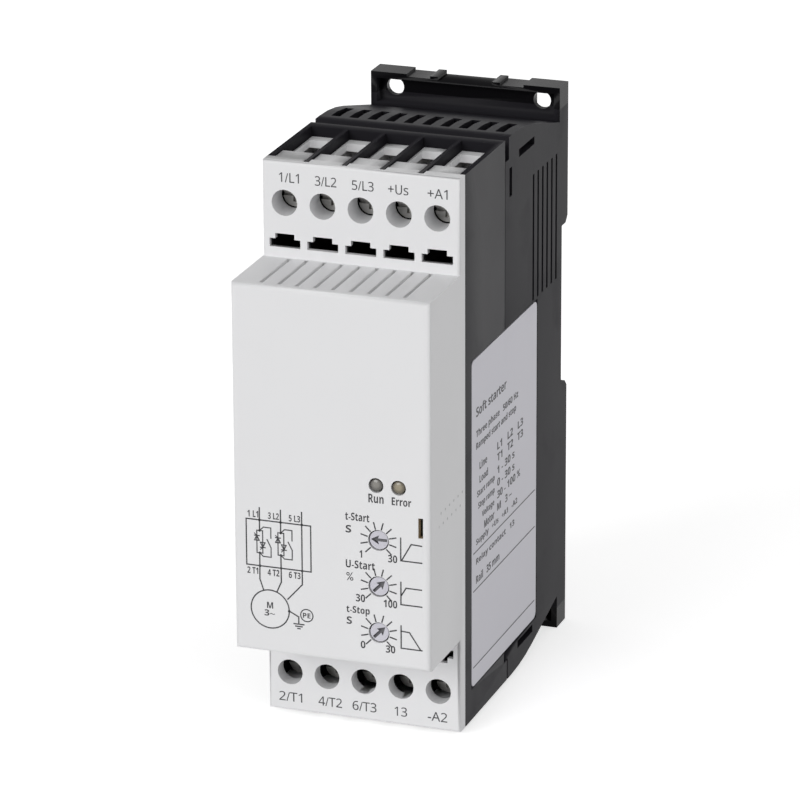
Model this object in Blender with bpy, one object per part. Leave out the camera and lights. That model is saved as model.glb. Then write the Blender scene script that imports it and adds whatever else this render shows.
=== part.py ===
"""Compact three-phase soft starter for motors, modelled in metres with +Z up.

The origin is the centre of the rail seat on the back. +Y points out of the back, towards
the wall, and the operating panel faces -Y. +X is the side that carries the rating label.
Run it with: blender --background --python part.py
"""

import math

import bmesh
import bpy
from mathutils import Matrix, Vector

MM = 0.001
OBJECT_NAME = "soft_starter"

# Overall sizes
HEIGHT = 130.0 * MM
DEPTH = 95.0 * MM
GAP = 0.3 * MM
OVERSHOOT = 2.0 * MM

# Terminal bays, which set the width
TERMINAL_COUNT = 5
BAY_WIDTH = 7.8 * MM
DIVIDER = 0.9 * MM
SIDE_WALL = 1.2 * MM
PITCH = BAY_WIDTH + DIVIDER
WIDTH = TERMINAL_COUNT * PITCH - DIVIDER + 2 * SIDE_WALL
HALF = WIDTH / 2

# Rail seat and the feet that stand behind it
FOOT_DEPTH = 4.2 * MM
RAIL_RECESS = 37.9 * MM
RAIL_WIDTH = 35.0 * MM
RAIL_ABOVE_BASE = 78.2 * MM
FOOT_CHAMFER = 1.4 * MM

# Front cover
COVER_MARGIN = 1.3 * MM
PLATE = 3.5 * MM
PANEL_STAND = 19.8 * MM
PANEL_ABOVE_COVER = 21.9 * MM
SHELF_BELOW_TOP = 21.6 * MM
COVER_WALL = 1.8 * MM
PLATE_BEVEL = 0.6 * MM
PANEL_BEVEL = 1.1 * MM
GROOVE_COUNT = 9
GROOVE_PITCH = 4.05 * MM
GROOVE_WIDTH = 0.9 * MM
GROOVE_LENGTH = 17.0 * MM
GROOVE_DEPTH = 0.8 * MM

# Stepped slots in the terminal plates
SLOT_BELOW_TOP = 17.4 * MM
SLOT_WIDTH = 7.1 * MM
SLOT_HEIGHT = 1.9 * MM
SLOT_STEP_WIDTH = 4.4 * MM
SLOT_STEP_HEIGHT = 1.2 * MM

# Housings
FRONT_HOUSING_DEPTH = 26.5 * MM
CHAMBER_HEIGHT = 25.0 * MM
CHAMBER_FLOOR = 1.6 * MM
CHAMBER_WALL = 3.0 * MM
REAR_WALL = 2.0 * MM
TONGUE = 1.0 * MM
TONGUE_REACH = 2.4 * MM
TONGUE_ROOT = 3.0 * MM
JOINT_NOTCH = 2.4 * MM
JOINT_NOTCH_HEIGHT = 5.0 * MM
TOP_FLAT_SHARE = 0.13
TOP_CURVE_SHARE = 0.4
TOP_SLOPE = math.radians(14.5)

# Screw terminals
TERMINAL_INSET = 9.2 * MM
ACCESS_RADIUS = 2.95 * MM
SLEEVE_WALL = 0.8 * MM
SLEEVE_LENGTH = 2.7 * MM
HEAD_RADIUS = 2.7 * MM
HEAD_THICKNESS = 1.7 * MM
HEAD_SLOT = 0.8 * MM
HEAD_SLOT_DEPTH = 0.8 * MM
HEAD_CROSS = 1.62 * MM
SHANK_RADIUS = 1.7 * MM
SHELF_THICKNESS = 1.0 * MM
THREAD_PITCH = 0.6 * MM
CLAMP_TURNS = 6.5
CLAMP_TRAVEL = THREAD_PITCH * CLAMP_TURNS
CLAMP_FRONT_WALL = 1.2 * MM
CLAMP_SIDE_WALL = 0.7 * MM
CLAMP_BACK_WALL = 1.0 * MM
CLAMP_HEIGHT = 6.4 * MM
CLAMP_SIDE_PLAY = 0.6 * MM
WIRE_GAP = 5.0 * MM
BAR_THICKNESS = 1.0 * MM
BAR_OVERLAP = 6.7 * MM
BAR_PAD = 0.25 * MM

# Cover fingers with the wire funnels
FINGER_THICKNESS = 3.5 * MM
LIP_THICKNESS = 5.4 * MM
LIP_LENGTH = 5.5 * MM
FUNNEL_MOUTH_X = 6.2 * MM
FUNNEL_MOUTH_Y = 13.0 * MM
FUNNEL_THROAT = 4.6 * MM
FUNNEL_DEPTH = 2.0 * MM
NOSE_SETBACK = 1.8 * MM
NOSE_HEIGHT = 5.2 * MM

# Rear grille, vents and latch windows
GRILLE_COUNT = 10
GRILLE_PITCH = 4.25 * MM
GRILLE_SLOT = 2.1 * MM
GRILLE_LENGTH = 9.7 * MM
GRILLE_START = 5.9 * MM
VENT_COUNT = 6
VENT_PITCH = 3.28 * MM
VENT_WIDTH = 1.1 * MM
VENT_BEFORE_SEAT = 21.2 * MM
VENT_BELOW_TOP = 13.4 * MM
VENT_HEIGHT = 29.5 * MM
WINDOW_START = 9.4 * MM
WINDOW_LENGTH = 10.8 * MM
WINDOW_HEIGHT = 1.8 * MM
WINDOW_INSET = 4.7 * MM
SIDE_SLOT_START = 2.8 * MM
SIDE_SLOT_WIDTH = 1.8 * MM
SIDE_SLOT_HEIGHT = 6.6 * MM
SIDE_SLOT_TOP = 7.2 * MM

# Fixing flanges above and below
FLANGE_HEIGHT = 8.1 * MM
FLANGE_DEPTH = 6.2 * MM
FLANGE_RIM = 1.4 * MM
FLANGE_LEDGE = 1.0 * MM
FLANGE_EDGE = 1.5 * MM
FLANGE_PLATE = 1.6 * MM
FLANGE_TRAY = 2.6 * MM
FIXING_RADIUS = 2.05 * MM
FIXING_SPACING = 35.0 * MM
FIXING_BELOW_EDGE = 3.9 * MM
FLANGE_RIB = 2.4 * MM
NOTCH_WIDTH = 27.8 * MM
NOTCH_DEPTH = 0.6 * MM
CENTRE_NOTCH_DEPTH = 0.9 * MM
HOOK_WIDTH = 1.9 * MM
HOOK_SPACING = 14.7 * MM
RAIL_HOOK_X = 11.0 * MM
RAIL_HOOK_WIDTH = 6.0 * MM
RAIL_HOOK_REACH = 1.5 * MM
RAIL_THICKNESS = 1.5 * MM

# Rail latch and its spring
LATCH_WIDTH = 10.0 * MM
LATCH_THICKNESS = 2.4 * MM
LATCH_TIP = 0.9 * MM
LATCH_BITE = 2.0 * MM
LATCH_LIP = 1.3 * MM
LATCH_ABOVE_BASE = 1.5 * MM
LATCH_WINDOW = 3.6 * MM
LATCH_POST = 2.5 * MM
LATCH_POST_HEIGHT = 18.8 * MM
LATCH_GRIP = 2.4 * MM
SPRING_LENGTH = 15.4 * MM
SPRING_RADIUS = 0.95 * MM
SPRING_WIRE = 0.2 * MM
SPRING_TURN_COUNT = 6

# Boards and what they carry
BOARD = 1.6 * MM
CONTROL_BOARD_SETBACK = 9.0 * MM
CHIP_SIZE = 10.0 * MM
CHIP_THICKNESS = 1.6 * MM
CHIP_BELOW_TOP = 6.0 * MM
RELAY_WIDTH = 18.0 * MM
RELAY_HEIGHT = 20.0 * MM
RELAY_DEPTH = 15.0 * MM
PART_SPACING = 1.0 * MM
TRANSFORMER_SIZE = (15.0 * MM, 12.0 * MM, 10.0 * MM)
CAPACITOR_RADIUS = 5.0 * MM
CAPACITOR_LENGTH = 12.5 * MM
LINK_WIDTH = 22.0 * MM
LINK_HEIGHT = 4.0 * MM
LINK_ABOVE_BARS = 0.9 * MM

# Heat sink and thyristor modules
SINK_BASE = 4.0 * MM
FIN_COUNT = 9
SINK_FIN = 1.2 * MM
SINK_INSET = 9.3 * MM
MODULE_WIDTH = 18.0 * MM
MODULE_HEIGHT = 30.0 * MM
MODULE_LOW = 36.0 * MM
MODULE_PIN = 1.0 * MM
MODULE_PIN_LENGTH = 3.0 * MM
MODULE_TAB = 7.0 * MM
MODULE_TAB_THICKNESS = 2.6 * MM
FIXING_SCREW_RADIUS = 1.45 * MM
FIXING_HEAD_RADIUS = 2.8 * MM
FIXING_HEAD = 2.0 * MM

# Dials and indicators
DIAL_X = 10.8 * MM
DIAL_TOP = 51.1 * MM
DIAL_PITCH = 10.65 * MM
DIAL_COUNT = 3
DIAL_RADIUS = 2.1 * MM
DIAL_LENGTH = 4.4 * MM
DIAL_SETBACK = 0.4 * MM
DIAL_GROOVE = 0.7 * MM
DIAL_GROOVE_DEPTH = 0.6 * MM
DIAL_ARROWS = (-90.0, 45.0, 45.0)
ARROW_TIP = 1.89 * MM
ARROW_BARB = 1.05 * MM
ARROW_BASE = 0.21 * MM
DIAL_BODY = 9.0 * MM
LIGHT_RADIUS = 1.4 * MM
LIGHTS_X = (10.3 * MM, 15.4 * MM)
LIGHTS_Z = 63.6 * MM
KEY_SLOT_X = 20.4 * MM
KEY_SLOT_Z = 55.0 * MM
KEY_SLOT_WIDTH = 1.1 * MM
KEY_SLOT_HEIGHT = 4.6 * MM

# Rating label
LABEL_START = 8.0 * MM
LABEL_LENGTH = 45.2 * MM
LABEL_LOW = 7.5 * MM
LABEL_BELOW_VENTS = 0.8 * MM
LABEL_THICKNESS = 0.25 * MM

# Planes that the sizes above set. Depths run along Y and heights along Z.
BACK_Y = FOOT_DEPTH
PANEL_Y = BACK_Y - DEPTH
PLATE_Y = PANEL_Y + PANEL_STAND
COVER_BACK_Y = PLATE_Y + PLATE
FRONT_Y = COVER_BACK_Y + GAP
JOINT_Y = FRONT_Y + FRONT_HOUSING_DEPTH
REAR_Y = JOINT_Y + GAP
SEAT_Y = 0.0
FLANGE_Y = BACK_Y - FLANGE_DEPTH
BASE_Z = -RAIL_ABOVE_BASE
TOP_Z = BASE_Z + HEIGHT
LOW_Z = BASE_Z + COVER_MARGIN
HIGH_Z = TOP_Z - COVER_MARGIN
MID_Z = (LOW_Z + HIGH_Z) / 2
PANEL_LOW_Z = LOW_Z + PANEL_ABOVE_COVER
SHELF_Z = HIGH_Z - SHELF_BELOW_TOP
CHAMBER_Y = JOINT_Y - CHAMBER_WALL
SCREW_Z = HIGH_Z - TERMINAL_INSET
FLOOR_Z = HIGH_Z - CHAMBER_HEIGHT
BOARD_TOP_Z = FLOOR_Z - CHAMBER_FLOOR - GAP
BAR_LOW_Z = BOARD_TOP_Z - BAR_OVERLAP
VENT_TOP_Z = HIGH_Z - VENT_BELOW_TOP
VENT_LOW_Z = VENT_TOP_Z - VENT_HEIGHT
LABEL_LOW_Z = LOW_Z + LABEL_LOW
LABEL_TOP_Z = VENT_LOW_Z - LABEL_BELOW_VENTS
BAYS_X = [(number - (TERMINAL_COUNT - 1) / 2) * PITCH for number in range(TERMINAL_COUNT)]

# Depths inside a terminal bay, from the access hole to the back of the cage
HEAD_Y = COVER_BACK_Y + SLEEVE_LENGTH + GAP
SHELF_Y = HEAD_Y + HEAD_THICKNESS + GAP
CLAMP_Y = SHELF_Y + SHELF_THICKNESS + GAP + CLAMP_TRAVEL
BAR_Y = CLAMP_Y + CLAMP_FRONT_WALL + 2 * GAP
BOARD_Y = BAR_Y + BAR_THICKNESS + GAP
SINK_Y = JOINT_Y + TONGUE_REACH + 2 * GAP
FINGER_Z = SCREW_Z + CLAMP_HEIGHT / 2 + GAP
CLAMP_WIDTH = BAY_WIDTH - 2 * CLAMP_SIDE_PLAY
BAR_WIDTH = CLAMP_WIDTH - 2 * CLAMP_SIDE_WALL - 2 * GAP
CONTROL_Y = PANEL_Y + CONTROL_BOARD_SETBACK + COVER_WALL

COVER_COLOUR = (0.80, 0.80, 0.81)
HOUSING_COLOUR = (0.060, 0.057, 0.062)
STEEL_COLOUR = (0.55, 0.55, 0.53)
COPPER_COLOUR = (0.72, 0.60, 0.50)
BOARD_COLOUR = (0.03, 0.16, 0.07)
BLACK_COLOUR = (0.02, 0.02, 0.02)
RELAY_COLOUR = (0.75, 0.76, 0.72)
SINK_COLOUR = (0.62, 0.63, 0.64)
LABEL_COLOUR = (0.62, 0.61, 0.67)
DIAL_COLOUR = (0.66, 0.65, 0.70)
LIGHT_COLOUR = (0.30, 0.29, 0.22)
LATCH_COLOUR = (0.05, 0.05, 0.055)


def clear_scene():
    """Remove whatever the file holds, so that the model starts empty."""
    for item in list(bpy.data.objects):
        bpy.data.objects.remove(item, do_unlink=True)


def new_collection(name):
    """A collection linked to the scene."""
    collection = bpy.data.collections.new(name)
    bpy.context.scene.collection.children.link(collection)
    return collection


def plain_material(name, colour, roughness, metallic=0.0):
    """A Principled material of one colour."""
    material = bpy.data.materials.new(name)
    material.use_nodes = True
    shader = material.node_tree.nodes["Principled BSDF"]
    shader.inputs["Base Color"].default_value = (*colour, 1.0)
    shader.inputs["Roughness"].default_value = roughness
    shader.inputs["Metallic"].default_value = metallic
    material.diffuse_color = (*colour, 1.0)
    return material


def add_block(mesh, low, high):
    """A box between two corners. Returns its vertices."""
    low, high = Vector(low), Vector(high)
    size = high - low
    matrix = Matrix.Translation((low + high) / 2) @ Matrix.Diagonal((*size, 1.0))
    return bmesh.ops.create_cube(mesh, size=1.0, matrix=matrix)["verts"]


def add_rod(mesh, start, end, radius, segments=24, end_radius=None):
    """A cylinder or cone between two points. Returns its vertices."""
    start, end = Vector(start), Vector(end)
    turn = (end - start).to_track_quat("Z", "Y").to_matrix().to_4x4()
    matrix = Matrix.Translation((start + end) / 2) @ turn
    return bmesh.ops.create_cone(
        mesh,
        cap_ends=True,
        segments=segments,
        radius1=radius,
        radius2=radius if end_radius is None else end_radius,
        depth=(end - start).length,
        matrix=matrix,
    )["verts"]


def bevel_edges(mesh, verts, width, segments, chosen):
    """Round the edges among these vertices whose middle the test picks."""
    edges = {edge for vert in verts for edge in vert.link_edges}
    picked = [edge for edge in edges if chosen((edge.verts[0].co + edge.verts[1].co) / 2)]
    bmesh.ops.bevel(
        mesh,
        geom=picked,
        offset=width,
        segments=segments,
        profile=0.5,
        affect="EDGES",
        clamp_overlap=True,
    )


def build_object(name, mesh, collection, origin=(0.0, 0.0, 0.0)):
    """An object from this bmesh, with its origin at the given point."""
    bmesh.ops.recalc_face_normals(mesh, faces=mesh.faces)
    mesh.transform(Matrix.Translation(-Vector(origin)))
    data = bpy.data.meshes.new(name)
    mesh.to_mesh(data)
    mesh.free()
    item = bpy.data.objects.new(name, data)
    item.location = origin
    collection.objects.link(item)
    return item


def make_part(name, mesh, material, origin=(0.0, 0.0, 0.0), smooth=False):
    """A visible piece in the object's own collection."""
    item = build_object(name, mesh, PARTS, origin)
    item.data.materials.append(material)
    if smooth:
        item.data.shade_smooth()
        item.data.set_sharp_from_angle(angle=math.radians(35))
    return item


def make_cutter(name, mesh):
    """A hidden helper for Booleans."""
    item = build_object(name, mesh, CUTTERS)
    item.hide_render = True
    item.display_type = "WIRE"
    return item


def combine(item, helper, operation):
    """Add a Boolean of the helper to the piece."""
    modifier = item.modifiers.new(f"{operation.lower()} {helper.name}", "BOOLEAN")
    modifier.operation = operation
    modifier.object = helper
    modifier.solver = "EXACT"


def blocks(name, corners):
    """A helper made of several separate boxes."""
    mesh = bmesh.new()
    for low, high in corners:
        add_block(mesh, low, high)
    return make_cutter(name, mesh)


def cut_blocks(item, name, corners):
    """Cut boxes out of the piece."""
    combine(item, blocks(name, corners), "DIFFERENCE")


def join_blocks(item, name, corners):
    """Join boxes to the piece. They may touch the piece, but not each other."""
    combine(item, blocks(name, corners), "UNION")


def cut_rods(item, name, rods, segments=24):
    """Cut cylinders, each given by start, end and radius."""
    mesh = bmesh.new()
    for start, end, radius in rods:
        add_rod(mesh, start, end, radius, segments)
    combine(item, make_cutter(name, mesh), "DIFFERENCE")


def outline_mesh(name, points, low, high, axis):
    """A closed outline extruded along X or Z, as a welded bmesh.

    Points are (y, z) for axis X and (x, y) for axis Z. The curve is drawn in millimetres and
    scaled down afterwards, because filling a very small curve is inexact.
    """
    curve = bpy.data.curves.new(name, "CURVE")
    curve.dimensions = "2D"
    curve.fill_mode = "BOTH"
    curve.extrude = (high - low) / 2 / MM
    spline = curve.splines.new("POLY")
    spline.points.add(len(points) - 1)
    for point, (first, second) in zip(spline.points, points):
        point.co = (first / MM, second / MM, 0.0, 1.0)
    spline.use_cyclic_u = True
    holder = bpy.data.objects.new(name + " outline", curve)
    CUTTERS.objects.link(holder)
    middle = (low + high) / 2
    if axis == "X":
        turn = Matrix(((0, 0, 1, 0), (1, 0, 0, 0), (0, 1, 0, 0), (0, 0, 0, 1)))
        holder.matrix_world = Matrix.Translation((middle, 0, 0)) @ turn @ Matrix.Scale(MM, 4)
    else:
        holder.matrix_world = Matrix.Translation((0, 0, middle)) @ Matrix.Scale(MM, 4)
    bpy.context.view_layer.update()
    graph = bpy.context.evaluated_depsgraph_get()
    data = bpy.data.meshes.new_from_object(holder.evaluated_get(graph))
    data.transform(holder.matrix_world)
    bpy.data.objects.remove(holder, do_unlink=True)
    mesh = bmesh.new()
    mesh.from_mesh(data)
    bpy.data.meshes.remove(data)
    bmesh.ops.remove_doubles(mesh, verts=mesh.verts, dist=0.001 * MM)
    bmesh.ops.dissolve_limit(mesh, angle_limit=math.radians(0.5), verts=mesh.verts, edges=mesh.edges)
    return mesh


def baked(item):
    """The piece's mesh with its modifiers applied, for copies to share."""
    bpy.context.view_layer.update()
    graph = bpy.context.evaluated_depsgraph_get()
    data = bpy.data.meshes.new_from_object(item.evaluated_get(graph))
    data.name = item.name
    item.modifiers.clear()
    item.data = data
    return data


def copy_part(name, data, location):
    """Another piece with the same mesh."""
    item = bpy.data.objects.new(name, data)
    item.location = location
    PARTS.objects.link(item)
    return item


def mirrored(z):
    """The height as far below the middle of the cover as z is above it."""
    return 2 * MID_Z - z


def both_ends(low, high):
    """A box near the top and its mirror image near the bottom."""
    flipped_low = (low[0], low[1], mirrored(high[2]))
    flipped_high = (high[0], high[1], mirrored(low[2]))
    return [(low, high), (flipped_low, flipped_high)]


def at_bays(x_low, x_high, y_low, y_high, z_low, z_high):
    """The same box in every terminal bay, above and below."""
    found = []
    for x in BAYS_X:
        found += both_ends((x + x_low, y_low, z_low), (x + x_high, y_high, z_high))
    return found


def centred_row(count, pitch):
    """Evenly spaced places on both sides of zero."""
    return [(number - (count - 1) / 2) * pitch for number in range(count)]


def cover_shell():
    """The terminal plate and the protruding panel box, as one hollow body."""
    plate = bmesh.new()
    verts = add_block(plate, (-HALF, PLATE_Y, LOW_Z), (HALF, COVER_BACK_Y, HIGH_Z))
    bevel_edges(plate, verts, PLATE_BEVEL, 2, lambda mid: mid.y < PLATE_Y + GAP)
    cover = make_part("front_cover", plate, MATERIALS["cover"])
    box = bmesh.new()
    verts = add_block(box, (-HALF, PANEL_Y, PANEL_LOW_Z), (HALF, PLATE_Y + PLATE / 2, SHELF_Z))
    bevel_edges(box, verts, PANEL_BEVEL, 3, lambda mid: mid.y < PANEL_Y + GAP)
    combine(cover, make_cutter("panel box", box), "UNION")
    inside = (HALF - COVER_WALL, PANEL_Y + COVER_WALL, PANEL_LOW_Z + COVER_WALL)
    hollow_low = (-inside[0], inside[1], inside[2])
    hollow_high = (inside[0], COVER_BACK_Y + OVERSHOOT, SHELF_Z - COVER_WALL)
    cut_blocks(cover, "cover hollow", [(hollow_low, hollow_high)])
    return cover


def cover_fingers(cover):
    """Lips and fingers that reach into the bays, each with a wire funnel, and the screw sleeves."""
    reach = BAY_WIDTH / 2 - GAP
    finger_top = FINGER_Z + FINGER_THICKNESS
    root = COVER_BACK_Y - PLATE / 2
    fingers = at_bays(-reach, reach, root, CHAMBER_Y - GAP, FINGER_Z, finger_top)
    join_blocks(cover, "fingers", fingers)
    lip_root = COVER_BACK_Y - PLATE / 4
    lip_end = COVER_BACK_Y + LIP_LENGTH
    lip_top = FINGER_Z + LIP_THICKNESS
    join_blocks(cover, "lips", at_bays(-reach, reach, lip_root, lip_end, FINGER_Z + GAP, lip_top))
    throat_y = BAR_Y + BAR_THICKNESS + WIRE_GAP / 2
    funnels = bmesh.new()
    throats = []
    half_throat = FUNNEL_THROAT / 2
    for x in BAYS_X:
        for turned in (False, True):
            top = mirrored(finger_top) if turned else finger_top
            into = 1 if turned else -1
            verts = add_block(
                funnels,
                (x - half_throat, throat_y - half_throat, min(top, top + into * FUNNEL_DEPTH)),
                (x + half_throat, throat_y + half_throat, max(top, top + into * FUNNEL_DEPTH)),
            )
            widen_mouth(verts, x, throat_y, top)
        throats += both_ends(
            (x - half_throat, throat_y - half_throat, FINGER_Z - OVERSHOOT / 4),
            (x + half_throat, throat_y + half_throat, finger_top - FUNNEL_DEPTH / 2),
        )
    combine(cover, make_cutter("funnels", funnels), "DIFFERENCE")
    cut_blocks(cover, "throats", throats)
    sleeves = bmesh.new()
    for x in BAYS_X:
        start = (x, root, SCREW_Z)
        end = (x, COVER_BACK_Y + SLEEVE_LENGTH, SCREW_Z)
        add_rod(sleeves, start, end, ACCESS_RADIUS + SLEEVE_WALL)
    combine(cover, make_cutter("sleeves", sleeves), "UNION")


def widen_mouth(verts, x, y, mouth_z):
    """Spread the outer end of a funnel cutter and lift it clear of the finger's face."""
    outer = [vert for vert in verts if abs(vert.co.z - mouth_z) < FUNNEL_DEPTH / 2]
    outward = 1 if mouth_z > MID_Z else -1
    for vert in outer:
        side_x = 1 if vert.co.x > x else -1
        side_y = 1 if vert.co.y > y else -1
        vert.co.x = x + side_x * FUNNEL_MOUTH_X / 2
        vert.co.y = y + side_y * FUNNEL_MOUTH_Y / 2 - (FUNNEL_MOUTH_Y - FUNNEL_THROAT) / 8
        vert.co.z = mouth_z + outward * GAP / 3


def cover_holes(cover):
    """Screw access holes, stepped slots, divider notches and panel holes."""
    rods = []
    for x in BAYS_X:
        for z in (SCREW_Z, mirrored(SCREW_Z)):
            rods.append(((x, PLATE_Y - OVERSHOOT, z), (x, HEAD_Y, z), ACCESS_RADIUS))
    cut_rods(cover, "access holes", rods)
    slot_z = HIGH_Z - SLOT_BELOW_TOP
    before = PLATE_Y - OVERSHOOT
    behind = COVER_BACK_Y + OVERSHOOT
    half = SLOT_WIDTH / 2
    cut_blocks(cover, "slots", at_bays(-half, half, before, behind, slot_z - SLOT_HEIGHT, slot_z))
    half = SLOT_STEP_WIDTH / 2
    step_low = slot_z - SLOT_HEIGHT / 2
    step_high = slot_z + SLOT_STEP_HEIGHT
    cut_blocks(cover, "slot steps", at_bays(-half, half, before, behind, step_low, step_high))
    notches = []
    notch_half = DIVIDER / 2 + GAP
    for x in divider_places():
        notches += both_ends(
            (x - notch_half, PLATE_Y + NOSE_SETBACK - GAP, HIGH_Z - NOSE_HEIGHT - GAP),
            (x + notch_half, behind, HIGH_Z + OVERSHOOT),
        )
    cut_blocks(cover, "divider notches", notches)
    holes = [(DIAL_X, z, DIAL_RADIUS + GAP) for z in dial_heights()]
    holes += [(x, LOW_Z + LIGHTS_Z, LIGHT_RADIUS + GAP) for x in LIGHTS_X]
    front = PANEL_Y - OVERSHOOT
    inside = PANEL_Y + COVER_WALL + OVERSHOOT
    panel_rods = [((x, front, z), (x, inside, z), radius) for x, z, radius in holes]
    cut_rods(cover, "panel holes", panel_rods)
    key = (KEY_SLOT_WIDTH / 2, KEY_SLOT_HEIGHT / 2)
    key_z = LOW_Z + KEY_SLOT_Z
    grooves = [
        (
            (x - GROOVE_WIDTH / 2, PLATE_Y - GROOVE_LENGTH - PLATE_BEVEL, SHELF_Z - GROOVE_DEPTH),
            (x + GROOVE_WIDTH / 2, PLATE_Y - PLATE_BEVEL, SHELF_Z + OVERSHOOT),
        )
        for x in centred_row(GROOVE_COUNT, GROOVE_PITCH)
    ]
    key_slot = (
        (KEY_SLOT_X - key[0], front, key_z - key[1]),
        (KEY_SLOT_X + key[0], inside, key_z + key[1]),
    )
    cut_blocks(cover, "grooves and key slot", grooves + [key_slot])


def divider_places():
    """The middle of each wall between two bays."""
    return [(BAYS_X[number] + BAYS_X[number + 1]) / 2 for number in range(TERMINAL_COUNT - 1)]


def dial_heights():
    """The heights of the three dials, from the top one down."""
    return [LOW_Z + DIAL_TOP - number * DIAL_PITCH for number in range(DIAL_COUNT)]


def build_cover():
    """The light grey front moulding."""
    cover = cover_shell()
    cover_fingers(cover)
    cover_holes(cover)


def label_pocket():
    """The shallow recess that the rating label lies in, with a gap around it."""
    start = PLATE_Y + LABEL_START
    return (
        (HALF - LABEL_THICKNESS - GAP, start - GAP, LABEL_LOW_Z - GAP),
        (HALF + OVERSHOOT, start + LABEL_LENGTH + GAP, LABEL_TOP_Z + GAP),
    )


def build_front_housing():
    """The dark moulding with the terminal bays. Its middle is open to the front and the back."""
    mesh = bmesh.new()
    add_block(mesh, (-HALF, FRONT_Y, LOW_Z), (HALF, JOINT_Y, HIGH_Z))
    housing = make_part("front_housing", mesh, MATERIALS["housing"])
    inner = HALF - SIDE_WALL
    floor_low = FLOOR_Z - CHAMBER_FLOOR
    before = FRONT_Y - OVERSHOOT
    hollow_low = (-inner, before, mirrored(floor_low))
    cut_blocks(housing, "front hollow", [(hollow_low, (inner, JOINT_Y + OVERSHOOT, floor_low))])
    chambers = both_ends((-inner, before, FLOOR_Z), (inner, CHAMBER_Y, HIGH_Z + OVERSHOOT))
    cut_blocks(housing, "chambers", chambers)
    join_dividers(housing)
    join_shelves(housing, inner + SIDE_WALL / 2)
    half = BAR_WIDTH / 2 + GAP
    slot_end = BAR_Y + BAR_THICKNESS + GAP
    slot_low = floor_low - OVERSHOOT
    bar_slots = at_bays(-half, half, BAR_Y - GAP, slot_end, slot_low, FLOOR_Z + OVERSHOOT)
    cut_blocks(housing, "bar slots", bar_slots)
    housing_tongues(housing, inner)
    tongue_low = (-HALF, JOINT_Y - TONGUE, LOW_Z)
    tongue_high = (HALF, JOINT_Y + JOINT_NOTCH - GAP, LOW_Z + JOINT_NOTCH_HEIGHT - GAP)
    join_blocks(housing, "foot of the joint", [(tongue_low, tongue_high)])
    cut_blocks(housing, "label pocket in the front housing", [label_pocket()])


def join_dividers(housing):
    """The walls between the bays, and the noses by which they show in the cover's edge."""
    walls = []
    noses = []
    for x in divider_places():
        left, right = x - DIVIDER / 2, x + DIVIDER / 2
        walls += both_ends(
            (left, FRONT_Y, FLOOR_Z - CHAMBER_FLOOR / 2),
            (right, CHAMBER_Y + CHAMBER_WALL / 2, HIGH_Z),
        )
        noses += both_ends(
            (left, PLATE_Y + NOSE_SETBACK, HIGH_Z - NOSE_HEIGHT),
            (right, FRONT_Y + PLATE, HIGH_Z),
        )
    join_blocks(housing, "dividers", walls)
    join_blocks(housing, "divider noses", noses)


def join_shelves(housing, reach):
    """The shelves behind the screw heads, with a hole for each shank."""
    shelf_end = SHELF_Y + SHELF_THICKNESS
    shelf_low = SCREW_Z - CLAMP_HEIGHT / 2 - CHAMBER_FLOOR
    shelves = both_ends((-reach, SHELF_Y, shelf_low), (reach, shelf_end, FINGER_Z - GAP))
    join_blocks(housing, "screw shelves", shelves)
    beyond = OVERSHOOT / 4
    rods = [
        ((x, SHELF_Y - beyond, z), (x, shelf_end + beyond, z), SHANK_RADIUS + GAP)
        for x in BAYS_X
        for z in (SCREW_Z, mirrored(SCREW_Z))
    ]
    cut_rods(housing, "shank holes", rods, 16)


def housing_tongues(housing, inner):
    """Tongues that reach inside the rear housing and line the two shells up."""
    outer = HALF - REAR_WALL - GAP
    span = FLOOR_Z - CHAMBER_FLOOR - TONGUE_ROOT
    root = JOINT_Y - TONGUE_ROOT
    step = JOINT_Y - TONGUE / 2
    roots = [
        ((outer - TONGUE, root, mirrored(span)), (inner + SIDE_WALL / 2, step, span)),
        ((-inner - SIDE_WALL / 2, root, mirrored(span)), (TONGUE - outer, step, span)),
    ]
    join_blocks(housing, "tongue roots", roots)
    tips = [
        ((outer - TONGUE, root + TONGUE, mirrored(span)), (outer, JOINT_Y + TONGUE_REACH, span)),
        ((-outer, root + TONGUE, mirrored(span)), (TONGUE - outer, JOINT_Y + TONGUE_REACH, span)),
    ]
    top = HIGH_Z - REAR_WALL - GAP
    tips += both_ends(
        (-outer, JOINT_Y - TONGUE, top - 2 * TONGUE), (outer, REAR_Y + JOINT_NOTCH + TONGUE_REACH, top)
    )
    join_blocks(housing, "tongue tips", tips)


def top_curve(inset, front, end):
    """The rear housing's upper edge in Y and Z, moved in by a wall: level, curved, then sloping."""
    depth = FLANGE_Y - REAR_Y
    curve_start = REAR_Y + TOP_FLAT_SHARE * depth
    curve_radius = TOP_CURVE_SHARE * depth / math.sin(TOP_SLOPE)
    top = HIGH_Z - inset
    points = [(front, top)]
    for step in range(4):
        angle = TOP_SLOPE * step / 3
        y = curve_start + curve_radius * math.sin(angle)
        points.append((y, top - curve_radius * (1 - math.cos(angle))))
    last_y, last_z = points[-1]
    points.append((end, last_z - (end - last_y) * math.tan(TOP_SLOPE)))
    return points


def with_mirror(points):
    """The upper half of an outline, closed by its mirror image below."""
    return points + [(y, mirrored(z)) for y, z in reversed(points)]


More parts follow.
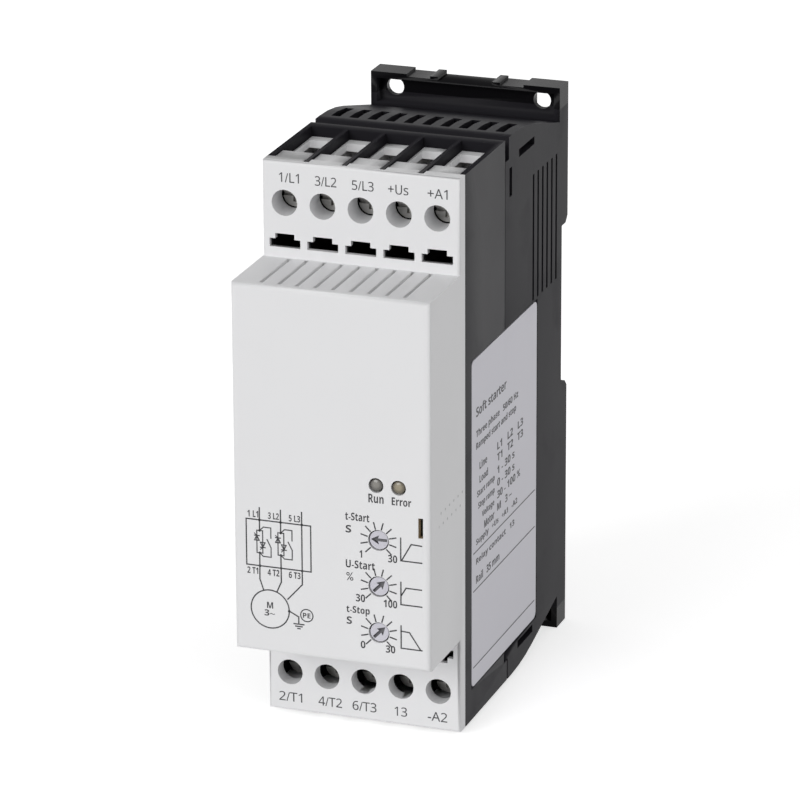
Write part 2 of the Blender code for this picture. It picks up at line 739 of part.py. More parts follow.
def shell_outline():
    """The rear housing from the side, with its flanges and with the feet beside the rail seat."""
    top = top_curve(0.0, REAR_Y, FLANGE_Y) + [(FLANGE_Y, TOP_Z), (BACK_Y, TOP_Z)]
    bottom = [(y, mirrored(z)) for y, z in reversed(top)]
    edge = RAIL_RECESS / 2
    seat = [
        (BACK_Y, edge + FOOT_CHAMFER),
        (BACK_Y - FOOT_CHAMFER, edge),
        (SEAT_Y, edge),
        (SEAT_Y, -edge),
        (BACK_Y - FOOT_CHAMFER, -edge),
        (BACK_Y, -edge - FOOT_CHAMFER),
    ]
    return top + seat + bottom


def build_rear_housing():
    """The dark moulding at the back, with its grille, vents, feet, flanges and rail seat."""
    shell = outline_mesh("rear shell", shell_outline(), -HALF, HALF, "X")
    housing = make_part("rear_housing", shell, MATERIALS["housing"])
    inner = with_mirror(top_curve(REAR_WALL, REAR_Y - OVERSHOOT, SEAT_Y - REAR_WALL))
    inner_half = HALF - REAR_WALL
    hollow = outline_mesh("rear hollow", inner, -inner_half, inner_half, "X")
    combine(housing, make_cutter("rear hollow", hollow), "DIFFERENCE")
    join_rail_hooks(housing)
    notch_joint(housing)
    cut_flange_trays(housing)
    cut_vents(housing)
    cut_latch_channel(housing)
    cut_blocks(housing, "label pocket in the rear housing", [label_pocket()])


def join_rail_hooks(housing):
    """Two hooks on the upper foot that hold the upper edge of the rail."""
    half = RAIL_HOOK_WIDTH / 2
    front = SEAT_Y + RAIL_THICKNESS + 2 * GAP
    end = RAIL_WIDTH / 2 - RAIL_HOOK_REACH
    hooks = [
        ((x - half, front, end), (x + half, BACK_Y - GAP, RAIL_RECESS / 2 + 2 * FOOT_CHAMFER))
        for x in (-RAIL_HOOK_X, RAIL_HOOK_X)
    ]
    join_blocks(housing, "rail hooks", hooks)


def notch_joint(housing):
    """The stepped front edge near the top and the bottom."""
    low = (-HALF - OVERSHOOT, REAR_Y - OVERSHOOT, HIGH_Z - JOINT_NOTCH_HEIGHT)
    high = (HALF + OVERSHOOT, REAR_Y + JOINT_NOTCH, HIGH_Z + OVERSHOOT)
    cut_blocks(housing, "joint notches", both_ends(low, high))


def cut_flange_trays(housing):
    """Hollow both flanges from the front and the back, and cut the fixing holes and rim notches."""
    side = HALF - FLANGE_RIM
    tray_low = TOP_Z - FLANGE_HEIGHT + FLANGE_LEDGE
    tray_high = TOP_Z - FLANGE_EDGE
    plate_y = FLANGE_Y + FLANGE_TRAY
    trays = both_ends((-side, FLANGE_Y - OVERSHOOT, tray_low), (side, plate_y, tray_high))
    back_y = plate_y + FLANGE_PLATE
    rib = FIXING_SPACING / 2 - FIXING_RADIUS - GAP
    for low, high in ((-side, -rib), (FLANGE_RIB - rib, rib - FLANGE_RIB), (rib, side)):
        trays += both_ends((low, back_y, tray_low), (high, BACK_Y + OVERSHOOT, tray_high))
    cut_blocks(housing, "flange trays", trays)
    hole_start = plate_y - OVERSHOOT / 4
    hole_end = back_y + OVERSHOOT / 4
    fixing_z = TOP_Z - FIXING_BELOW_EDGE
    rods = [
        ((x, hole_start, z), (x, hole_end, z), FIXING_RADIUS)
        for x in (-FIXING_SPACING / 2, FIXING_SPACING / 2)
        for z in (fixing_z, mirrored(fixing_z))
    ]
    cut_rods(housing, "fixing holes", rods, 20)
    hook_in = HOOK_SPACING / 2 - HOOK_WIDTH / 2
    hook_out = HOOK_SPACING / 2 + HOOK_WIDTH / 2
    half = NOTCH_WIDTH / 2
    rims = []
    for low, high, depth in (
        (-hook_in, hook_in, CENTRE_NOTCH_DEPTH),
        (-half, -hook_out, NOTCH_DEPTH),
        (hook_out, half, NOTCH_DEPTH),
    ):
        rims += both_ends(
            (low, FLANGE_Y - OVERSHOOT, TOP_Z - depth),
            (high, BACK_Y + OVERSHOOT, TOP_Z + OVERSHOOT),
        )
    cut_blocks(housing, "rim notches", rims)


def cut_vents(housing):
    """The grille above and below, the side vents and the latch windows."""
    grille = [
        (
            (x - GRILLE_SLOT / 2, REAR_Y + GRILLE_START, BASE_Z - OVERSHOOT),
            (x + GRILLE_SLOT / 2, REAR_Y + GRILLE_START + GRILLE_LENGTH, TOP_Z + OVERSHOOT),
        )
        for x in centred_row(GRILLE_COUNT, GRILLE_PITCH)
    ]
    cut_blocks(housing, "grille", grille)
    across = HALF + OVERSHOOT
    sides = []
    for number in range(VENT_COUNT):
        y = SEAT_Y - VENT_BEFORE_SEAT + number * VENT_PITCH
        sides.append(((-across, y, VENT_LOW_Z), (across, y + VENT_WIDTH, VENT_TOP_Z)))
    window_top = HIGH_Z - WINDOW_INSET
    window_y = REAR_Y + WINDOW_START
    sides += both_ends(
        (-across, window_y, window_top - WINDOW_HEIGHT),
        (across, window_y + WINDOW_LENGTH, window_top),
    )
    slot_y = REAR_Y + SIDE_SLOT_START
    slot_z = HIGH_Z - SIDE_SLOT_TOP
    slot_low = (-across, slot_y, slot_z - SIDE_SLOT_HEIGHT)
    cut_blocks(housing, "side vents", sides)
    cut_blocks(housing, "side slot", [(slot_low, (across, slot_y + SIDE_SLOT_WIDTH, slot_z))])


def cut_latch_channel(housing):
    """The channel in the lower foot that guides the rail latch, with the post for its spring."""
    floor_y = SEAT_Y + GAP
    lid_y = floor_y + LATCH_THICKNESS + 2 * GAP
    wide = LATCH_WIDTH / 2 + GAP
    narrow = LATCH_WIDTH / 2 - LATCH_LIP
    top = OVERSHOOT - RAIL_RECESS / 2
    bottom = BASE_Z - OVERSHOOT
    cut_blocks(housing, "latch channel", [((-wide, floor_y, bottom), (wide, lid_y, top))])
    opening = ((-narrow, lid_y - GAP, bottom), (narrow, BACK_Y + OVERSHOOT, top))
    cut_blocks(housing, "latch opening", [opening])
    post_z = BASE_Z + LATCH_POST_HEIGHT
    post_half = LATCH_WINDOW / 2 - GAP
    post = ((-post_half, floor_y - GAP, post_z), (post_half, lid_y - GAP, post_z + LATCH_POST))
    join_blocks(housing, "spring post", [post])


def build_screws():
    """Ten slotted terminal screws, each with its origin on its own axis."""
    mesh = bmesh.new()
    length = BAR_Y - GAP - HEAD_Y
    add_rod(mesh, (0, 0, 0), (0, HEAD_THICKNESS, 0), HEAD_RADIUS, 24)
    first = make_part("terminal_screw_1", mesh, MATERIALS["steel"])
    shank = bmesh.new()
    add_rod(shank, (0, HEAD_THICKNESS / 2, 0), (0, length, 0), SHANK_RADIUS, 16)
    combine(first, make_cutter("shank", shank), "UNION")
    slot = HEAD_SLOT / 2
    reach = HEAD_RADIUS + OVERSHOOT
    bars = [((-reach, -OVERSHOOT, -slot), (reach, HEAD_SLOT_DEPTH, slot))]
    cut_blocks(first, "screw slot", bars)
    cross = ((-slot, -OVERSHOOT, -HEAD_CROSS), (slot, HEAD_SLOT_DEPTH + GAP / 3, HEAD_CROSS))
    cut_blocks(first, "screw cross", [cross])
    data = baked(first)
    data.shade_smooth()
    data.set_sharp_from_angle(angle=math.radians(35))
    places = [(x, HEAD_Y, z) for z in (SCREW_Z, mirrored(SCREW_Z)) for x in BAYS_X]
    first.location = places[0]
    for number, place in enumerate(places[1:], 2):
        copy_part(f"terminal_screw_{number}", data, place)


def build_clamps():
    """Ten cages that the screws draw towards the front, shown open."""
    half = CLAMP_WIDTH / 2
    depth = clamp_depth()
    mesh = bmesh.new()
    add_block(mesh, (-half, 0, -CLAMP_HEIGHT / 2), (half, depth, CLAMP_HEIGHT / 2))
    first = make_part("terminal_clamp_1", mesh, MATERIALS["steel"])
    inner = half - CLAMP_SIDE_WALL
    tall = CLAMP_HEIGHT / 2 + OVERSHOOT
    opening = ((-inner, CLAMP_FRONT_WALL, -tall), (inner, depth - CLAMP_BACK_WALL, tall))
    cut_blocks(first, "cage opening", [opening])
    thread_end = (0, CLAMP_FRONT_WALL + OVERSHOOT / 2, 0)
    cut_rods(first, "cage thread", [((0, -OVERSHOOT, 0), thread_end, SHANK_RADIUS + GAP)], 16)
    data = baked(first)
    places = [(x, CLAMP_Y, z) for z in (SCREW_Z, mirrored(SCREW_Z)) for x in BAYS_X]
    first.location = places[0]
    for number, place in enumerate(places[1:], 2):
        copy_part(f"terminal_clamp_{number}", data, place)


def clamp_depth():
    """The cage's depth: its walls, the bar with its play and the room for a wire."""
    return CLAMP_FRONT_WALL + 2 * GAP + BAR_THICKNESS + WIRE_GAP + CLAMP_BACK_WALL


def build_bars():
    """Ten flat contact bars from the cages to the power board, each with a raised pad for the wire."""
    top = FINGER_Z - GAP
    half = BAR_WIDTH / 2
    back = BAR_Y + BAR_THICKNESS
    pad_low = SCREW_Z - CLAMP_HEIGHT / 2
    for number, x in enumerate(BAYS_X, 1):
        left, right = x - half, x + half
        bars = both_ends((left, BAR_Y, BAR_LOW_Z), (right, back, top))
        pads = both_ends((left, back - BAR_THICKNESS / 2, pad_low), (right, back + BAR_PAD, top))
        for row, bar, pad in zip(("line", "load"), bars, pads):
            mesh = bmesh.new()
            add_block(mesh, *bar)
            item = make_part(f"{row}_bar_{number}", mesh, MATERIALS["copper"])
            join_blocks(item, f"{row} pad {number}", [pad])


def build_boards():
    """The power board behind the bars and the control board behind the panel."""
    half = HALF - SIDE_WALL - GAP
    mesh = bmesh.new()
    add_block(mesh, (-half, BOARD_Y, mirrored(BOARD_TOP_Z)), (half, BOARD_Y + BOARD, BOARD_TOP_Z))
    make_part("power_board", mesh, MATERIALS["board"])
    low = PANEL_LOW_Z + COVER_WALL + GAP
    high = SHELF_Z - COVER_WALL - GAP
    half = HALF - COVER_WALL - GAP
    mesh = bmesh.new()
    add_block(mesh, (-half, CONTROL_Y, low), (half, CONTROL_Y + BOARD, high))
    make_part("control_board", mesh, MATERIALS["board"])
    chip_top = high - CHIP_BELOW_TOP
    mesh = bmesh.new()
    add_block(
        mesh,
        (-CHIP_SIZE, CONTROL_Y - GAP - CHIP_THICKNESS, chip_top - CHIP_SIZE),
        (0, CONTROL_Y - GAP, chip_top),
    )
    make_part("control_chip", mesh, MATERIALS["black"])
    mesh = bmesh.new()
    link_z = link_height()
    add_block(
        mesh,
        (-LINK_WIDTH / 2, CONTROL_Y + BOARD + GAP, link_z),
        (LINK_WIDTH / 2, BOARD_Y - GAP, link_z + LINK_HEIGHT),
    )
    make_part("board_connector", mesh, MATERIALS["black"])


def link_height():
    """The lower edge of the connector between the boards, just above the lower bars."""
    return mirrored(BAR_LOW_Z) + LINK_ABOVE_BARS


def build_power_parts():
    """Relays, transformer and capacitor on the front of the power board."""
    front = BOARD_Y - GAP
    low = link_height() + LINK_HEIGHT + PART_SPACING
    face = front - RELAY_DEPTH
    for number, left in enumerate((-RELAY_WIDTH - PART_SPACING / 2, PART_SPACING / 2), 1):
        mesh = bmesh.new()
        verts = add_block(mesh, (left, face, low), (left + RELAY_WIDTH, front, low + RELAY_HEIGHT))
        bevel_edges(mesh, verts, PLATE_BEVEL, 1, lambda mid: mid.y < face + GAP)
        make_part(f"bypass_relay_{number}", mesh, MATERIALS["relay"])
    top = BAR_LOW_Z - PART_SPACING
    width, depth, height = TRANSFORMER_SIZE
    mesh = bmesh.new()
    add_block(mesh, (-PART_SPACING - width, front - depth, top - height), (-PART_SPACING, front, top))
    make_part("supply_transformer", mesh, MATERIALS["relay"])
    x = PART_SPACING + CAPACITOR_RADIUS
    z = top - CAPACITOR_RADIUS
    mesh = bmesh.new()
    add_rod(mesh, (x, front - CAPACITOR_LENGTH, z), (x, front, z), CAPACITOR_RADIUS, 20)
    make_part("supply_capacitor", mesh, MATERIALS["black"], smooth=True)


def build_heat_sink():
    """An extrusion whose fins run upwards, so that air passes from grille to grille."""
    half = HALF - REAR_WALL - GAP
    back = SEAT_Y - REAR_WALL - GAP
    fins = centred_row(FIN_COUNT, (2 * half - SINK_FIN) / (FIN_COUNT - 1))
    points = [(half, SINK_Y), (-half, SINK_Y)]
    for x in fins:
        left, right = x - SINK_FIN / 2, x + SINK_FIN / 2
        if x > fins[0]:
            points.append((left, SINK_Y + SINK_BASE))
        points += [(left, back), (right, back)]
        if x < fins[-1]:
            points.append((right, SINK_Y + SINK_BASE))
    mesh = outline_mesh("sink", points, LOW_Z + SINK_INSET, HIGH_Z - SINK_INSET, "Z")
    sink = make_part("heat_sink", mesh, MATERIALS["sink"])
    rods = []
    z = module_screw_z()
    for x in module_places():
        end = (x, SINK_Y + SINK_BASE - GAP, z)
        rods.append(((x, SINK_Y - OVERSHOOT, z), end, FIXING_SCREW_RADIUS + GAP))
    cut_rods(sink, "sink holes", rods, 12)


def module_places():
    """The middle of each thyristor module."""
    return [-(MODULE_WIDTH + PART_SPACING) / 2, (MODULE_WIDTH + PART_SPACING) / 2]


def module_screw_z():
    """The height of the modules' fixing screws."""
    return LOW_Z + MODULE_LOW + MODULE_HEIGHT + MODULE_TAB / 2


def build_modules():
    """Thyristor modules that lie against the heat sink, each with pins and a screwed tab."""
    back = SINK_Y - GAP
    front = BOARD_Y + BOARD + GAP
    low = LOW_Z + MODULE_LOW
    for number, x in enumerate(module_places(), 1):
        left, right = x - MODULE_WIDTH / 2, x + MODULE_WIDTH / 2
        mesh = bmesh.new()
        add_block(mesh, (left, front + MODULE_PIN_LENGTH, low), (right, back, low + MODULE_HEIGHT))
        module = make_part(f"thyristor_module_{number}", mesh, MATERIALS["black"])
        tab = (
            (left + PART_SPACING, back - MODULE_TAB_THICKNESS, low + MODULE_HEIGHT - PART_SPACING),
            (right - PART_SPACING, back, low + MODULE_HEIGHT + MODULE_TAB),
        )
        pin = MODULE_PIN / 2
        pin_end = front + MODULE_PIN_LENGTH + PART_SPACING
        pins = [
            ((x + row - pin, front, z - pin), (x + row + pin, pin_end, z + pin))
            for row in centred_row(2, MODULE_WIDTH / 2)
            for z in (low + MODULE_HEIGHT / 4, low + MODULE_HEIGHT * 3 / 4)
        ]
        join_blocks(module, f"module tab and pins {number}", [tab] + pins)
        z = module_screw_z()
        start = (x, back - MODULE_TAB_THICKNESS - OVERSHOOT, z)
        hole = (start, (x, back + OVERSHOOT, z), FIXING_SCREW_RADIUS + GAP)
        cut_rods(module, f"module hole {number}", [hole], 12)
        build_module_screw(number, x, z, back - MODULE_TAB_THICKNESS - GAP)


def build_module_screw(number, x, z, seat_y):
    """The screw that holds a module to the heat sink."""
    mesh = bmesh.new()
    add_rod(mesh, (x, seat_y - FIXING_HEAD, z), (x, seat_y, z), FIXING_HEAD_RADIUS, 16)
    screw = make_part(f"module_screw_{number}", mesh, MATERIALS["steel"], smooth=True)
    shank = bmesh.new()
    end = (x, SINK_Y + SINK_BASE - 2 * GAP, z)
    add_rod(shank, (x, seat_y - FIXING_HEAD / 2, z), end, FIXING_SCREW_RADIUS, 12)
    combine(screw, make_cutter(f"module shank {number}", shank), "UNION")


def build_dials():
    """Three trimmers: a body on the control board, and a rotor with an arrow-shaped groove."""
    body_front = PANEL_Y + COVER_WALL + GAP
    rotor_front = PANEL_Y + DIAL_SETBACK
    rotor_back = rotor_front + DIAL_LENGTH
    half = DIAL_BODY / 2
    left, right = DIAL_X - half, DIAL_X + half
    for number, (z, arrow) in enumerate(zip(dial_heights(), DIAL_ARROWS), 1):
        mesh = bmesh.new()
        add_block(mesh, (left, body_front, z - half), (right, CONTROL_Y - GAP, z + half))
        body = make_part(f"dial_body_{number}", mesh, MATERIALS["black"])
        bore_start = (DIAL_X, body_front - OVERSHOOT, z)
        bore = (bore_start, (DIAL_X, rotor_back + GAP, z), DIAL_RADIUS + GAP)
        cut_rods(body, f"dial bore {number}", [bore], 20)
        mesh = bmesh.new()
        add_rod(mesh, (DIAL_X, rotor_front, z), (DIAL_X, rotor_back, z), DIAL_RADIUS, 24)
        origin = (DIAL_X, rotor_front, z)
        rotor = make_part(f"dial_rotor_{number}", mesh, MATERIALS["dial"], origin, smooth=True)
        groove = build_arrow(number)
        groove.rotation_euler = (0.0, math.radians(arrow), 0.0)
        groove.location = origin
        combine(rotor, groove, "DIFFERENCE")


def build_arrow(number):
    """An arrow that points up, cut into a rotor's face, with its origin on the rotor's axis."""
    slot = DIAL_GROOVE / 2
    points = [
        (slot, -ARROW_TIP),
        (slot, ARROW_BASE),
        (ARROW_BARB, 0.0),
        (0.0, ARROW_TIP),
        (-ARROW_BARB, 0.0),
        (-slot, ARROW_BASE),
        (-slot, -ARROW_TIP),
    ]
    mesh = outline_mesh(f"arrow {number}", points, -DIAL_GROOVE_DEPTH, DIAL_GROOVE_DEPTH, "Z")
    mesh.transform(Matrix.Rotation(math.radians(90), 4, "X"))
    return make_cutter(f"arrow groove {number}", mesh)


def build_lights():
    """Two light pipes from the control board to the panel."""
    z = LOW_Z + LIGHTS_Z
    for name, x in zip(("light_pipe_run", "light_pipe_fault"), LIGHTS_X):
        mesh = bmesh.new()
        verts = add_rod(mesh, (x, PANEL_Y, z), (x, CONTROL_Y - GAP, z), LIGHT_RADIUS, 20)
        bevel_edges(mesh, verts, LIGHT_RADIUS / 3, 2, lambda mid: mid.y < PANEL_Y + GAP)
        make_part(name, mesh, MATERIALS["light"], smooth=True)


def build_latch():
    """The sliding rail latch, with a window for its spring and a grip at the bottom."""
    front = SEAT_Y + 2 * GAP
    back = front + LATCH_THICKNESS
    half = LATCH_WIDTH / 2
    low = BASE_Z + LATCH_ABOVE_BASE
    top = -RAIL_RECESS / 2 - GAP
    mesh = bmesh.new()
    add_block(mesh, (-half, front, low), (half, back, top))
    latch = make_part("rail_latch", mesh, MATERIALS["latch"], (0.0, front, low))
    tip_half = half - LATCH_LIP
    tip_low = (-tip_half, back - LATCH_TIP, top - LATCH_TIP)
    join_blocks(latch, "latch tip", [(tip_low, (tip_half, back, LATCH_BITE - RAIL_WIDTH / 2))])
    window = LATCH_WINDOW / 2
    window_low = BASE_Z + LATCH_POST_HEIGHT - GAP
    window_high = window_low + GAP + LATCH_POST + 2 * GAP + SPRING_LENGTH
    grip_low = low + LATCH_LIP
    cut_blocks(
        latch,
        "latch windows",
        [
            ((-window, front - OVERSHOOT, window_low), (window, back + OVERSHOOT, window_high)),
            ((-window, front - OVERSHOOT, grip_low), (window, back + OVERSHOOT, grip_low + LATCH_GRIP)),
        ],
    )


def build_spring():
    """The latch's compression spring, with closed ends."""
    low = BASE_Z + LATCH_POST_HEIGHT + LATCH_POST + GAP
    y = SEAT_Y + 2 * GAP + LATCH_THICKNESS / 2
    curve = bpy.data.curves.new("latch_spring", "CURVE")
    curve.dimensions = "3D"
    curve.bevel_depth = SPRING_WIRE
    curve.bevel_resolution = 0
    curve.use_fill_caps = True
    steps = 9
    count = SPRING_TURN_COUNT * steps
    spline = curve.splines.new("POLY")
    spline.points.add(count)
    rise = SPRING_LENGTH - 2 * SPRING_WIRE
    for number, point in enumerate(spline.points):
        angle = 2 * math.pi * number / steps
        share = number / count
        point.co = (
            SPRING_RADIUS * math.cos(angle),
            SPRING_RADIUS * math.sin(angle),
            SPRING_WIRE + rise * share,
            1.0,
        )
    spring = bpy.data.objects.new("latch_spring", curve)
    spring.location = (0.0, y, low)
    PARTS.objects.link(spring)
    curve.materials.append(MATERIALS["steel"])


def build_label():
    """The rating label, flush with the right side."""
    mesh = bmesh.new()
    start = PLATE_Y + LABEL_START
    low = (HALF - LABEL_THICKNESS, start, LABEL_LOW_Z)
    add_block(mesh, low, (HALF, start + LABEL_LENGTH, LABEL_TOP_Z))
    make_part("rating_label", mesh, MATERIALS["label"])


def make_materials():
    """One material for each kind of surface."""
    return {
        "cover": plain_material("cover plastic", COVER_COLOUR, 0.45),
        "housing": plain_material("housing plastic", HOUSING_COLOUR, 0.5),
        "steel": plain_material("plated steel", STEEL_COLOUR, 0.35, 1.0),
        "copper": plain_material("tinned copper", COPPER_COLOUR, 0.35, 1.0),
        "board": plain_material("circuit board", BOARD_COLOUR, 0.4),
        "black": plain_material("black plastic", BLACK_COLOUR, 0.45),
        "relay": plain_material("relay case", RELAY_COLOUR, 0.4),
        "sink": plain_material("aluminium", SINK_COLOUR, 0.4, 1.0),
        "label": plain_material("label film", LABEL_COLOUR, 0.4),
        "dial": plain_material("dial plastic", DIAL_COLOUR, 0.45),
        "light": plain_material("light pipe", LIGHT_COLOUR, 0.2),
        "latch": plain_material("latch plastic", LATCH_COLOUR, 0.5),
    }


def build_all():
    """Every piece of the soft starter."""
    build_cover()
    build_front_housing()
    build_rear_housing()
    build_screws()
    build_clamps()
    build_bars()
    build_boards()
    build_power_parts()
    build_heat_sink()
    build_modules()
    build_dials()
    build_lights()
    build_latch()
    build_spring()
    build_label()


clear_scene()
PARTS = new_collection(OBJECT_NAME)
CUTTERS = new_collection("cutters")
MATERIALS = make_materials()
build_all()
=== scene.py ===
"""Looks of a compact three-phase soft starter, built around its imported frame.

Metres, +Z up. The operating panel faces -Y and the rating label faces +X.
"""

import math

import bmesh
import bpy
from bpy.props import FloatProperty, FloatVectorProperty, PointerProperty
from bpy.types import Operator, Panel, PropertyGroup
from mathutils import Matrix, Vector


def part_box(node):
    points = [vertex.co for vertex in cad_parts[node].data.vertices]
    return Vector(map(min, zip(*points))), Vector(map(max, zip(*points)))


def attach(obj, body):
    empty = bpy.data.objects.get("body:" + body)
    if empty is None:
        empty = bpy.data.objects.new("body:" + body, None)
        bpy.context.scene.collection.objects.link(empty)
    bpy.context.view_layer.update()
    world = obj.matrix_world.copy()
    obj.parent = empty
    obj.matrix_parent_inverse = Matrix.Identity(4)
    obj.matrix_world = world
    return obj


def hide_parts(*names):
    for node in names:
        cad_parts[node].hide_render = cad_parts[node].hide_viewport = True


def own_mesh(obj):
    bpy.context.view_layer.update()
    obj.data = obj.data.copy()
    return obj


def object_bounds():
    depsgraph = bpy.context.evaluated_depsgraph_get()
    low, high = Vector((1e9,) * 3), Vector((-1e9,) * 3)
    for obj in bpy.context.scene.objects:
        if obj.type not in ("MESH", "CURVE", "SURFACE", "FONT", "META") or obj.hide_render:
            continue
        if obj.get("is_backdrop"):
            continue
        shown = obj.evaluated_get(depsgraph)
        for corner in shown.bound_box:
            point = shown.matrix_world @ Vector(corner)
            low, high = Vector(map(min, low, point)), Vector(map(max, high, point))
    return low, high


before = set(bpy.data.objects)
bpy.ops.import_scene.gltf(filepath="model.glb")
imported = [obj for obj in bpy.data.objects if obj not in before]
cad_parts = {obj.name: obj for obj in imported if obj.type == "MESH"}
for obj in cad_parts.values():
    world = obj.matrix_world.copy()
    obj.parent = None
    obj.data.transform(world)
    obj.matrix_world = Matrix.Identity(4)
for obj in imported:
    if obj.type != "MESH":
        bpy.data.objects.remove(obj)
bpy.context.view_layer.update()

bl_info = {
    "name": "Soft starter looks",
    "version": (1, 0, 0),
    "blender": (4, 5, 0),
    "location": "View3D > Sidebar > Soft starter",
    "description": "Adds the surfaces, prints and studio of a compact soft starter",
    "category": "Object",
}

MM = 0.001
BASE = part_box("front_cover")[0][2]
PANEL_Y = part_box("front_cover")[0][1]
LABEL_LOW, LABEL_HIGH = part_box("rating_label")
PLATE_Y = -71.0 * MM
SETBACK = 0.04 * MM
MERGE_DISTANCE = 0.002 * MM
DOME_MERGE = 0.001 * MM
RING_MERGE = 1e-4
LETTER_MERGE = 1e-5
GRAIN_DEPTH = 0.02 * MM
FLAT_ANGLE = math.radians(0.3)
CASE = "case"
DOME_SHARE = 0.3
DOME_STEPS = 6

# Bays and the places where the cover is thin, in millimetres from the rail seat
BAYS = (-17.4, -8.7, 0.0, 8.7, 17.4)
MIDDLE_Z = -13.2
SLOT_POCKET = ((-3.95, -69.8, 30.2), (3.95, -66.0, 34.7))
FINGER_HOLLOW = ((-2.9, -61.5, 43.0), (2.9, -44.8, 47.1))

# Moulded dimples on the sides of the panel box, in millimetres, with Z from the cover's lower edge
DIMPLES_Y = (-84.9, -69.2)
DIMPLES_Z = (52.3, 57.5)
UPPER_ROW_Z = (54.9, 57.5)
DIMPLE_SIDE = 22.3
DIMPLE_START = 82.1
DIMPLE_SHIFT = 1.42
DIMPLE_HALF_STEP = 1.4
DIMPLE_ROW_Z = 56.15
DIMPLE_HALF_ROW = 1.35
DIMPLE_RADIUS_SQUARED = 0.1
DIMPLE_DEPTH = 0.3 * MM

# Slot beside the first dial and recess in each dial: millimetres, with depths from the panel's face
KEY_SLOT_X = (19.7, 21.1)
KEY_SLOT_Z = (52.5, 57.5)
KEY_SLOT_DEPTHS = (0.2, 1.78)
RECESS_DEPTH = 0.55

# Indicators, in millimetres from the middle and from the cover's lower edge
RUN_X = 10.3
FAULT_X = 15.4
LIGHTS_Z = 63.8
HEART_SQUARES = (0.05, 1.3)

# The fixing flanges lie further than the reach from this height, and behind this depth, in millimetres
FLANGE_MIDDLE_Z = 63.7
FLANGE_REACH = 60.0
FLANGE_Y = -2.1

# Colours that the sidebar doesn't offer
KEY_SLOT_COLOUR = (0.36, 0.29, 0.19)
RUN_RIM = (0.10, 0.095, 0.085)
RUN_HEART = (0.22, 0.21, 0.19)
FAULT_RIM = (0.13, 0.11, 0.075)
FAULT_HEART = (0.30, 0.26, 0.18)
BOARD_COLOUR = (0.03, 0.15, 0.07)
TRACK_COLOUR = (0.10, 0.30, 0.12)
COPPER_COLOUR = (0.70, 0.64, 0.57)
ALUMINIUM_COLOUR = (0.62, 0.63, 0.64)
BLACK_COLOUR = (0.018, 0.018, 0.018)
RELAY_COLOUR = (0.70, 0.71, 0.67)
LATCH_COLOUR = (0.045, 0.045, 0.05)
PAPER_COLOURS = ((0.80, 0.80, 0.80), (0.84, 0.84, 0.84))
WHITE = (1.0, 1.0, 1.0)

# Studio: ways to the lamps, their softness in degrees, and the ground
KEY_WAY = (-0.35, -0.88, 0.34)
KEY_SOFTNESS = 35.0
SIDE_WAY = (0.85, -0.35, 0.42)
SIDE_SOFTNESS = 50.0
FLOOR_HALF = 6.0
FLOOR_DROP = 0.02 * MM
FLOOR_GLOW = 0.62

# Camera of the photograph: angles in degrees, the point it looks at and its distance
VIEW_TURN = 19.67017744
VIEW_RISE = 19.43999462
VIEW_ROLL = -0.2710878
VIEW_CENTRE = (-4.786 * MM, -33.0 * MM, -14.926 * MM)
VIEW_DISTANCE = 1166.996 * MM
VIEW_LENS = 234.0
VIEW_SENSOR = 36.0

# Where Unicode's two upright sans-serif alphabets start: capitals, small letters and figures
LIGHT = (0x1D5A0, 0x1D5BA, 0x1D7E2)
HEAVY = (0x1D5D4, 0x1D5EE, 0x1D7EC)

# Prints are drawn in millimetres: across, and up from the cover's lower edge
MARK_BOXES = (
    ("1/L1", (-18.58, 122.85, -14.0, 125.0)),
    ("3/L2", (-10.34, 122.8, -5.45, 124.95)),
    ("5/L3", (-1.9, 122.7, 3.05, 124.85)),
    ("+Us", (6.33, 122.65, 10.9, 124.8)),
    ("+A1", (15.26, 122.6, 19.75, 124.75)),
    ("2/T1", (-20.05, 2.15, -14.62, 4.35)),
    ("4/T2", (-10.75, 2.15, -5.2, 4.35)),
    ("6/T3", (-2.69, 2.15, 2.92, 4.35)),
    ("13", (7.2, 2.1, 10.1, 4.3)),
    ("-A2", (14.95, 2.05, 19.5, 4.25)),
)
PANEL_TEXTS = (
    ("1 L1", (-19.25, 53.0, -16.75, 54.5)),
    ("3 L2", (-14.5, 53.0, -12.0, 54.5)),
    ("5 L3", (-9.7, 53.0, -7.1, 54.5)),
    ("2 T1", (-19.45, 39.9, -16.95, 41.4)),
    ("4 T2", (-14.75, 39.9, -12.05, 41.4)),
    ("6 T3", (-9.85, 39.9, -7.15, 41.4)),
    ("M", (-15.0, 32.25, -13.6, 33.7)),
    ("3~", (-15.6, 30.45, -13.2, 31.9)),
    ("PE", (-6.7, 31.05, -4.95, 32.2)),
    ("Run", (8.58, 59.6, 12.03, 61.6)),
    ("Error", (13.88, 59.6, 18.29, 61.4)),
    ("t-Start", (3.24, 55.0, 8.75, 56.8)),
    ("S", (3.33, 52.1, 4.6, 53.85)),
    ("1", (6.45, 46.7, 7.05, 48.4)),
    ("30", (12.98, 46.4, 15.04, 48.15)),
    ("U-Start", (3.31, 44.05, 9.95, 45.9)),
    ("%", (3.38, 41.1, 5.02, 43.0)),
    ("30", (5.56, 36.45, 7.66, 38.2)),
    ("100", (11.9, 35.95, 15.0, 37.7)),
    ("t-Stop", (3.36, 33.2, 8.7, 35.3)),
    ("S", (3.4, 31.0, 4.6, 32.75)),
    ("0", (6.6, 25.75, 7.65, 27.45)),
    ("30", (12.36, 25.45, 14.5, 27.15)),
)
